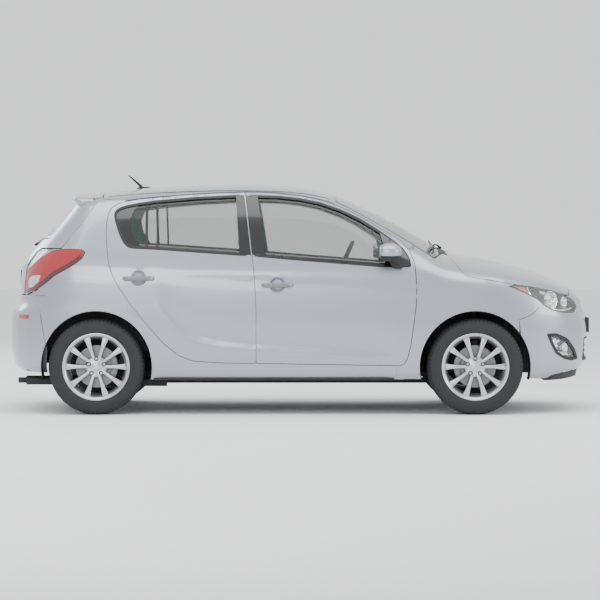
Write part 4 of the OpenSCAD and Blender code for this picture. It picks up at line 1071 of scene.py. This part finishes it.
for end in ("front", "rear"):
    addPiece(end + "_handle", handleBar(handlePlace[end]), "handle", end + "_door_SIDE", True,
             replaces=[end + "_handle_SIDE"])
    lockPlace = (handlePlace[end][0] + 88, handlePlace[end][1])
    addPiece(end + "_handle_lock", aimed(revolve([(0.3, 3), (9, 3), (11, 1), (11, -3)], 24), (
        lockPlace[0], halfWidth(np.array([lockPlace[0]]), np.array([lockPlace[1]]))[0] + 24, lockPlace[1]),
        (0, 1, 0)), "steel", end + "_door_SIDE", True)

mirrorShape = {"middle": (592, 903, 1083), "size": (80, 94, 60), "split": -0.42}


def cutAt(level, keepUpper):
    # the blob's part above or below a level, pressed flat there
    def shape(p):
        p = p.copy()
        p[:, 2] = np.maximum(p[:, 2], level) if keepUpper else np.minimum(p[:, 2], level)
        p[:, 0] = np.where(p[:, 0] < -0.72, -0.72 + (p[:, 0] + 0.72) * 0.12, p[:, 0])
        return p
    return shape


for name, grow, upper, look, node in (("mirror_cap", [1, 1, 1], True, "paint", ["mirror_SIDE"]),
                                      ("mirror_base", [1.02, 0.97, 1], False, "trim", [])):
    level = mirrorShape["split"] - (0 if upper else 0.03)
    shell = blob(mirrorShape["middle"], np.array(mirrorShape["size"]) * grow, (2.3, 2.5), rows=30,
                 columns=60, shape=cutAt(level, upper))
    addPiece(name, shell, look, "front_door_SIDE", True,
             replaces=node)
addPiece("mirror_glass", blob((531, 903, 1087), (3, 80, 44), (2.4, 3.4), rows=14, columns=40), "mirror",
         "front_door_SIDE", True)
mirrorFoot = curveThrough([(648, 822, 985), (640, 848, 998), (618, 872, 1024), (604, 884, 1046)], 16)
addPiece("mirror_foot", tube(mirrorFoot, 38, 13, 24, power=2.6), "trim", "front_door_SIDE",
         True)


def screenHeight(x, y):
    # height of the windscreen's surface
    return fromTop(np.array(x, float), np.abs(np.array(y, float)))[:, 2]


# Pivot and tip of each wiper, along y.
wiperPlaces = {"left": (520, 0), "right": (-60, -540)}
wiperParts = []
for pivot, tip in wiperPlaces.values():
    y = np.linspace(pivot - 40, tip, 16)
    x = np.linspace(930, 893, 16)
    blade = np.stack([x, y, screenHeight(x, y) + 7], 1)
    pivotPoint = np.array([968, pivot, screenHeight([968], [pivot])[0] + 4])
    along = np.linspace(0, 1, 14)[:, None]
    arm = pivotPoint * (1 - along) + (blade[8] + [4, 0, 7]) * along
    arm = arm + [0, 0, 9] * np.sin(math.pi * along)
    wiperParts += [tube(blade, 4.5 * rounded(16, 0.1), 6.5, 10),
                   tube(arm, 8 - 3 * np.linspace(0, 1, 14), 4.5, 10),
                   blob(pivotPoint, (13, 13, 9), rows=12, columns=20)]
addPiece("windscreen_wipers", wiperParts, "trim", "shell", replaces=["wipers"])
rearWiper = curveThrough([(-1826, 0, 1132), (-1812, 110, 1156), (-1796, 230, 1172), (-1782, 330, 1180)], 18)
addPiece("rear_wiper_arm", [tube(rearWiper, 8 - 3 * np.linspace(0, 1, 18), 5, 10),
                            blob((-1813, 0, 1136), (30, 24, 14), lean=-0.9, rows=14, columns=24)], "trim",
         "tailgate", replaces=["rear_wiper"])

mast = np.linspace([-1098, 0, 1530], [-1189, 0, 1611], 14)
addPiece("roof_antenna_mast", [tube(mast, np.linspace(11, 4, 14), np.linspace(11, 4, 14), 14, up=(0, 1, 0)),
                               blob((-1078, 0, 1522), (54, 17, 12), (2.0, 1.8), rows=20, columns=36)], "trim",
         "shell", replaces=["roof_antenna"])

# Spoiler: one section carried across, following the crown, shorter towards its ends.
spoilerSection = softLoop([(-1394, 1485), (-1470, 1488), (-1546, 1486), (-1552, 1478), (-1548, 1465),
                           (-1500, 1412), (-1478, 1388), (-1394, 1420)], 6, 8)
across = np.concatenate([[-538, -536, -530], np.linspace(-520, 520, 45), [530, 536, 538]])
shrink = 1 - 0.34 * np.clip((np.abs(across) - 500) / 38, 0, 1) ** 2
drop = 62 * (across / 655) ** 2
sx = -1394 + (spoilerSection[None, :, 0] + 1394) * (shrink - 0.16 * (np.abs(across) / 538) ** 3)[:, None]
sz = 1440 + (spoilerSection[None, :, 1] - 1440) * shrink[:, None] - drop[:, None]
spoilerPoints = np.stack([sx, across[:, None] + 0 * sx, sz], -1)
rows, columns = spoilerPoints.shape[:2]
spoilerFaces = gridFaces(rows, columns).tolist() + [list(range(columns))[::-1],
                                                    list(range((rows - 1) * columns, rows * columns))]
addPiece("spoiler_skin", (spoilerPoints.reshape(-1, 3), spoilerFaces), "paint", "tailgate",
         replaces=["rear_spoiler"])
gateTop = fromTop(np.array([-1338.0, -1338, -1394, -1394]), np.array([-500.0, 500, 500, -500]))[:, :2]
panel("tailgate_top", "top", offset(softLoop(gateTop, 4, 10), -1), [], "tailgate", sides="M", spacing=22)

# Wheel arch liners and the dark edge under the sills.
linerAngle = np.linspace(math.radians(-14), math.radians(194), 60)
for end in ("front", "rear"):
    width = np.linspace(wheelPlace["middle"] - 120, wheelPlace["middle"] + 58, 8)
    radius = wheelPlace["arch"] - 5
    liner = np.stack([wheelPlace[end] + radius * np.cos(linerAngle)[None] + 0 * width[:, None],
                      width[:, None] + 0 * linerAngle[None],
                      wheelPlace["height"] + radius * np.sin(linerAngle)[None] + 0 * width[:, None]], -1)
    for piece in addPiece(end + "_arch_liner", (liner.reshape(-1, 3), gridFaces(8, 60, False)), "chassis",
                          "shell", True, crisp=0):
        thicken(piece, 3, 0)
sillLine = np.linspace([-975, 798, 237], [630, 803, 237], 24)
addPiece("sill_edge", tube(sillLine, 13 * rounded(24, 0.04), 6.5, 12), "trim", "shell",
         True)
print("fittings ready")


# Cabin.
def stitched(values, places, width):
    # how near each value is to a seam, as bell curves about the places
    return sum(np.exp(-((values - place) / width) ** 2) for place in places)


def cushionShape(grooves):
    # a lying pad: seams press it down by 7 %, and its front and back bulge by 5 %
    def shape(p):
        p = p.copy()
        p[:, 2] *= 1 - 0.07 * stitched(p[:, 1], grooves, 0.035)
        p[:, 0] *= 1 - 0.05 * (1 - p[:, 1] ** 2).clip(0)
        return p
    return shape


def backShape(grooves):
    # a standing pad: upright and level seams press it in, and its top narrows by 10 %
    def shape(p):
        p = p.copy()
        level = stitched(p[:, 2], (-0.45, 0.3), 0.03) if grooves else 0
        p[:, 0] *= 1 - 0.14 * stitched(p[:, 1], grooves, 0.035) - 0.10 * level
        p[:, 1] *= 1 - 0.10 * np.clip(p[:, 2], 0, 1) ** 2
        return p
    return shape


def pad(name, middle, size, material, power, lean=0.0, grooves=(), both=False, replaces=(),
        upright=False):
    # a padded part of a seat: a superellipsoid of the size and powers, seamed and leaning back
    shape = (backShape if upright else cushionShape)(grooves)
    part = blob(middle, size, power, lean, 56, 96, shape)
    for piece in addPiece(name, part, material, "shell", both, replaces=replaces, crisp=0):
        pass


# Front seats: x and y of the middle of the seat; the rear bench is given in place.
seatX, seatY = 60, 370
frontSeams, rearSeams = (-0.55, 0.55), (-0.36, 0.36)
pad("front_cushion", (seatX + 12, seatY, 452), (250, 205, 52), "cloth", (2.6, 4.0),
    grooves=frontSeams, both=True, replaces=["front_seats"])
for name, flank in (("inner", -1), ("outer", 1)):
    pad("front_cushion_bolster_" + name, (seatX + 12, seatY + flank * 200, 462), (240, 36, 46),
        "bolster", (2.4, 3.0), both=True)
    pad("front_back_bolster_" + name, (seatX - 300, seatY + flank * 178, 730), (58, 34, 255),
        "bolster", (2.6, 2.4), lean=0.34, both=True)
pad("front_backrest", (seatX - 322, seatY, 738), (54, 196, 272), "cloth", (3.2, 3.2), lean=0.34,
    grooves=frontSeams, both=True, upright=True)
pad("front_headrest", (seatX - 436, seatY, 1116), (38, 112, 82), "bolster", (2.8, 3.0), lean=0.12,
    both=True, upright=True)
posts = [np.linspace([seatX - 428, seatY + y, 985], [seatX - 432, seatY + y, 1060], 4) for y in (-45, 45)]
addPiece("front_headrest_posts", [tube(post, 6, 6, 14, up=(0, 1, 0)) for post in posts], "steel",
         "shell", True)
addPiece("front_seat_base", boxPart((seatX - 180, seatY - 190, 262.5), (seatX + 180, seatY + 190, 402)),
         "trim", "shell", True, bevel=14)
pad("rear_cushion", (-738, 0, 446), (232, 596, 46), "cloth", (2.8, 5.0), grooves=rearSeams,
    replaces=["rear_seat"])
pad("rear_backrest", (-1018, 0, 722), (56, 594, 258), "cloth", (3.4, 4.5), lean=0.24,
    grooves=rearSeams, upright=True)
for k, y in enumerate((-340, 0, 340)):
    pad("rear_headrest_%d" % k, (-1116, y, 1036), (34, 98, 62), "bolster", (2.8, 3.0), lean=0.1,
        upright=True)
addPiece("rear_seat_base", boxPart((-930, -540, 262.5), (-600, 540, 402)), "trim", "shell",
         bevel=10)


def dashPiece(name, parts, look, bevel=0.0):
    # a piece that stands on the dashboard or the tunnel
    addPiece(name, parts, look, "shell", bevel=bevel)


# The CAD dashboard keeps its place; hood, vents, screen, lever and brake stand on it.
dashPiece("instrument_hood", tube(np.linspace([650, 230, 996], [650, 510, 996], 20),
                                  62 * rounded(20, 0.2), 26 * rounded(20, 0.25), 28), "soft")
dashPiece("centre_panel", boxPart((632, -98, 800), (662, 98, 935)), "gloss", 8)
dashPiece("radio_screen", boxPart((629, -70, 862), (634, 70, 925)), "mirror", 2)
ventRing = revolve([(28, 0), (40, -4), (44, 2), (44, 14), (28, 14)], 32)
for k, y in enumerate((-560, -150, 150, 560)):
    dashPiece("air_vent_%d" % k, aimed(ventRing, (652, y, 925), (-1, 0, 0.02)), "trim")
dashPiece("gear_lever", [tube(np.linspace([500, 0, 800], [470, 0, 905], 8), 6, 6, 14, up=(0, 1, 0)),
                         blob((466, 0, 915), (19, 19, 26), rows=16, columns=24)], "leather")
brakePath = curveThrough([(420, 40, 524), (330, 40, 548), (240, 40, 572)], 14)
dashPiece("hand_brake", tube(brakePath, 13 * rounded(14, 0.1), 11, 16), "leather")

steeringWheel = {"place": (300, 370, 990), "tilt": 25, "rim": 170.5, "tube": 13.5,
                 "spokes": (0, 2.44, -2.44)}


def wheelFrame(part):
    # from the steering wheel's own frame, whose axis is z, to its tilted place
    tilt = math.radians(steeringWheel["tilt"] - 90)
    p, faces = part
    x = p[:, 0] * math.cos(tilt) + p[:, 2] * math.sin(tilt)
    z = p[:, 2] * math.cos(tilt) - p[:, 0] * math.sin(tilt)
    return np.stack([x, p[:, 1], z], 1) + steeringWheel["place"], faces


ringAngle = np.linspace(0, 2 * math.pi, 97)[:, None]
ringTurn = np.linspace(0, 2 * math.pi, 20, endpoint=False)[None]
ringRadius = steeringWheel["rim"] + steeringWheel["tube"] * np.cos(ringTurn)
ringPoints = np.stack([ringRadius * np.cos(ringAngle), ringRadius * np.sin(ringAngle),
                       steeringWheel["tube"] * np.sin(ringTurn) + 0 * ringAngle], -1).reshape(-1, 3)
addPiece("steering_wheel_rim", wheelFrame((ringPoints, gridFaces(97, 20))), "leather", "steering_wheel",
         replaces=["steering_wheel"], crisp=0)
spokesIn = []
for angle in steeringWheel["spokes"]:
    way = np.array([math.cos(angle), math.sin(angle), 0])
    spokesIn.append(wheelFrame(tube(np.linspace(40 * way, 160 * way, 10) + [0, 0, 2], 17, 6, 18)))
addPiece("steering_wheel_spokes", spokesIn, "handle", "steering_wheel")
hornPad = blob((0, 0, 2), (66, 66, 19), (2.6, 2.6), rows=24, columns=48)
addPiece("steering_wheel_pad", wheelFrame(hornPad), "soft", "steering_wheel")
print("cabin ready")

# Exhaust: pipe, silencer and tail pipe as one turned run, with its hanger straps.
pipeHeight = 213.0
exhaustParts = []
for start, stop, radius in ((1018, -1500, 19.5), (-1492, -1858, 31.5), (-1850, -1912, 19.5)):
    ends = [(0.3, 0), (radius - 3, 0), (radius, 4), (radius, start - stop - 4), (radius - 3, start - stop)]
    run = revolve(ends + [(radius - 5 if stop < -1900 else 0.3, start - stop)], 32)
    exhaustParts.append(aimed(run, (start, -450, pipeHeight), (-1, 0, 0)))
for x in (-940, 10, 860):
    exhaustParts.append(boxPart((x - 10, -455, pipeHeight + 8), (x + 8, -445, pipeHeight + 22)))
addPiece("exhaust_run", exhaustParts, "chassis", "shell", replaces=["exhaust"])

# CAD nodes whose shape is right keep it and take a finish.
kept = {"floor_pan": "chassis", "crash_beam": "chassis", "front_lip": "trim", "cowl_panel": "trim",
        "engine_block": "cast", "fuel_tank": "trim", "rear_axle": "chassis",
        "front_subframe": "chassis", "front_struts": "chassis", "dashboard": "soft", "knuckle_left": "iron",
        "knuckle_right": "iron"}
for node, look in kept.items():
    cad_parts[node].data.materials.clear()
    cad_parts[node].data.materials.append(finish[look])

floorMesh = bpy.data.meshes.new("studio_floor")
floorMesh.from_pydata([(-40, -40, 0), (40, -40, 0), (40, 40, 0), (-40, 40, 0)], [], [(0, 1, 2, 3)])
floorMesh.materials.append(floorPlate)
studioFloor = bpy.data.objects.new("studio_floor", floorMesh)
bpy.context.scene.collection.objects.link(studioFloor)
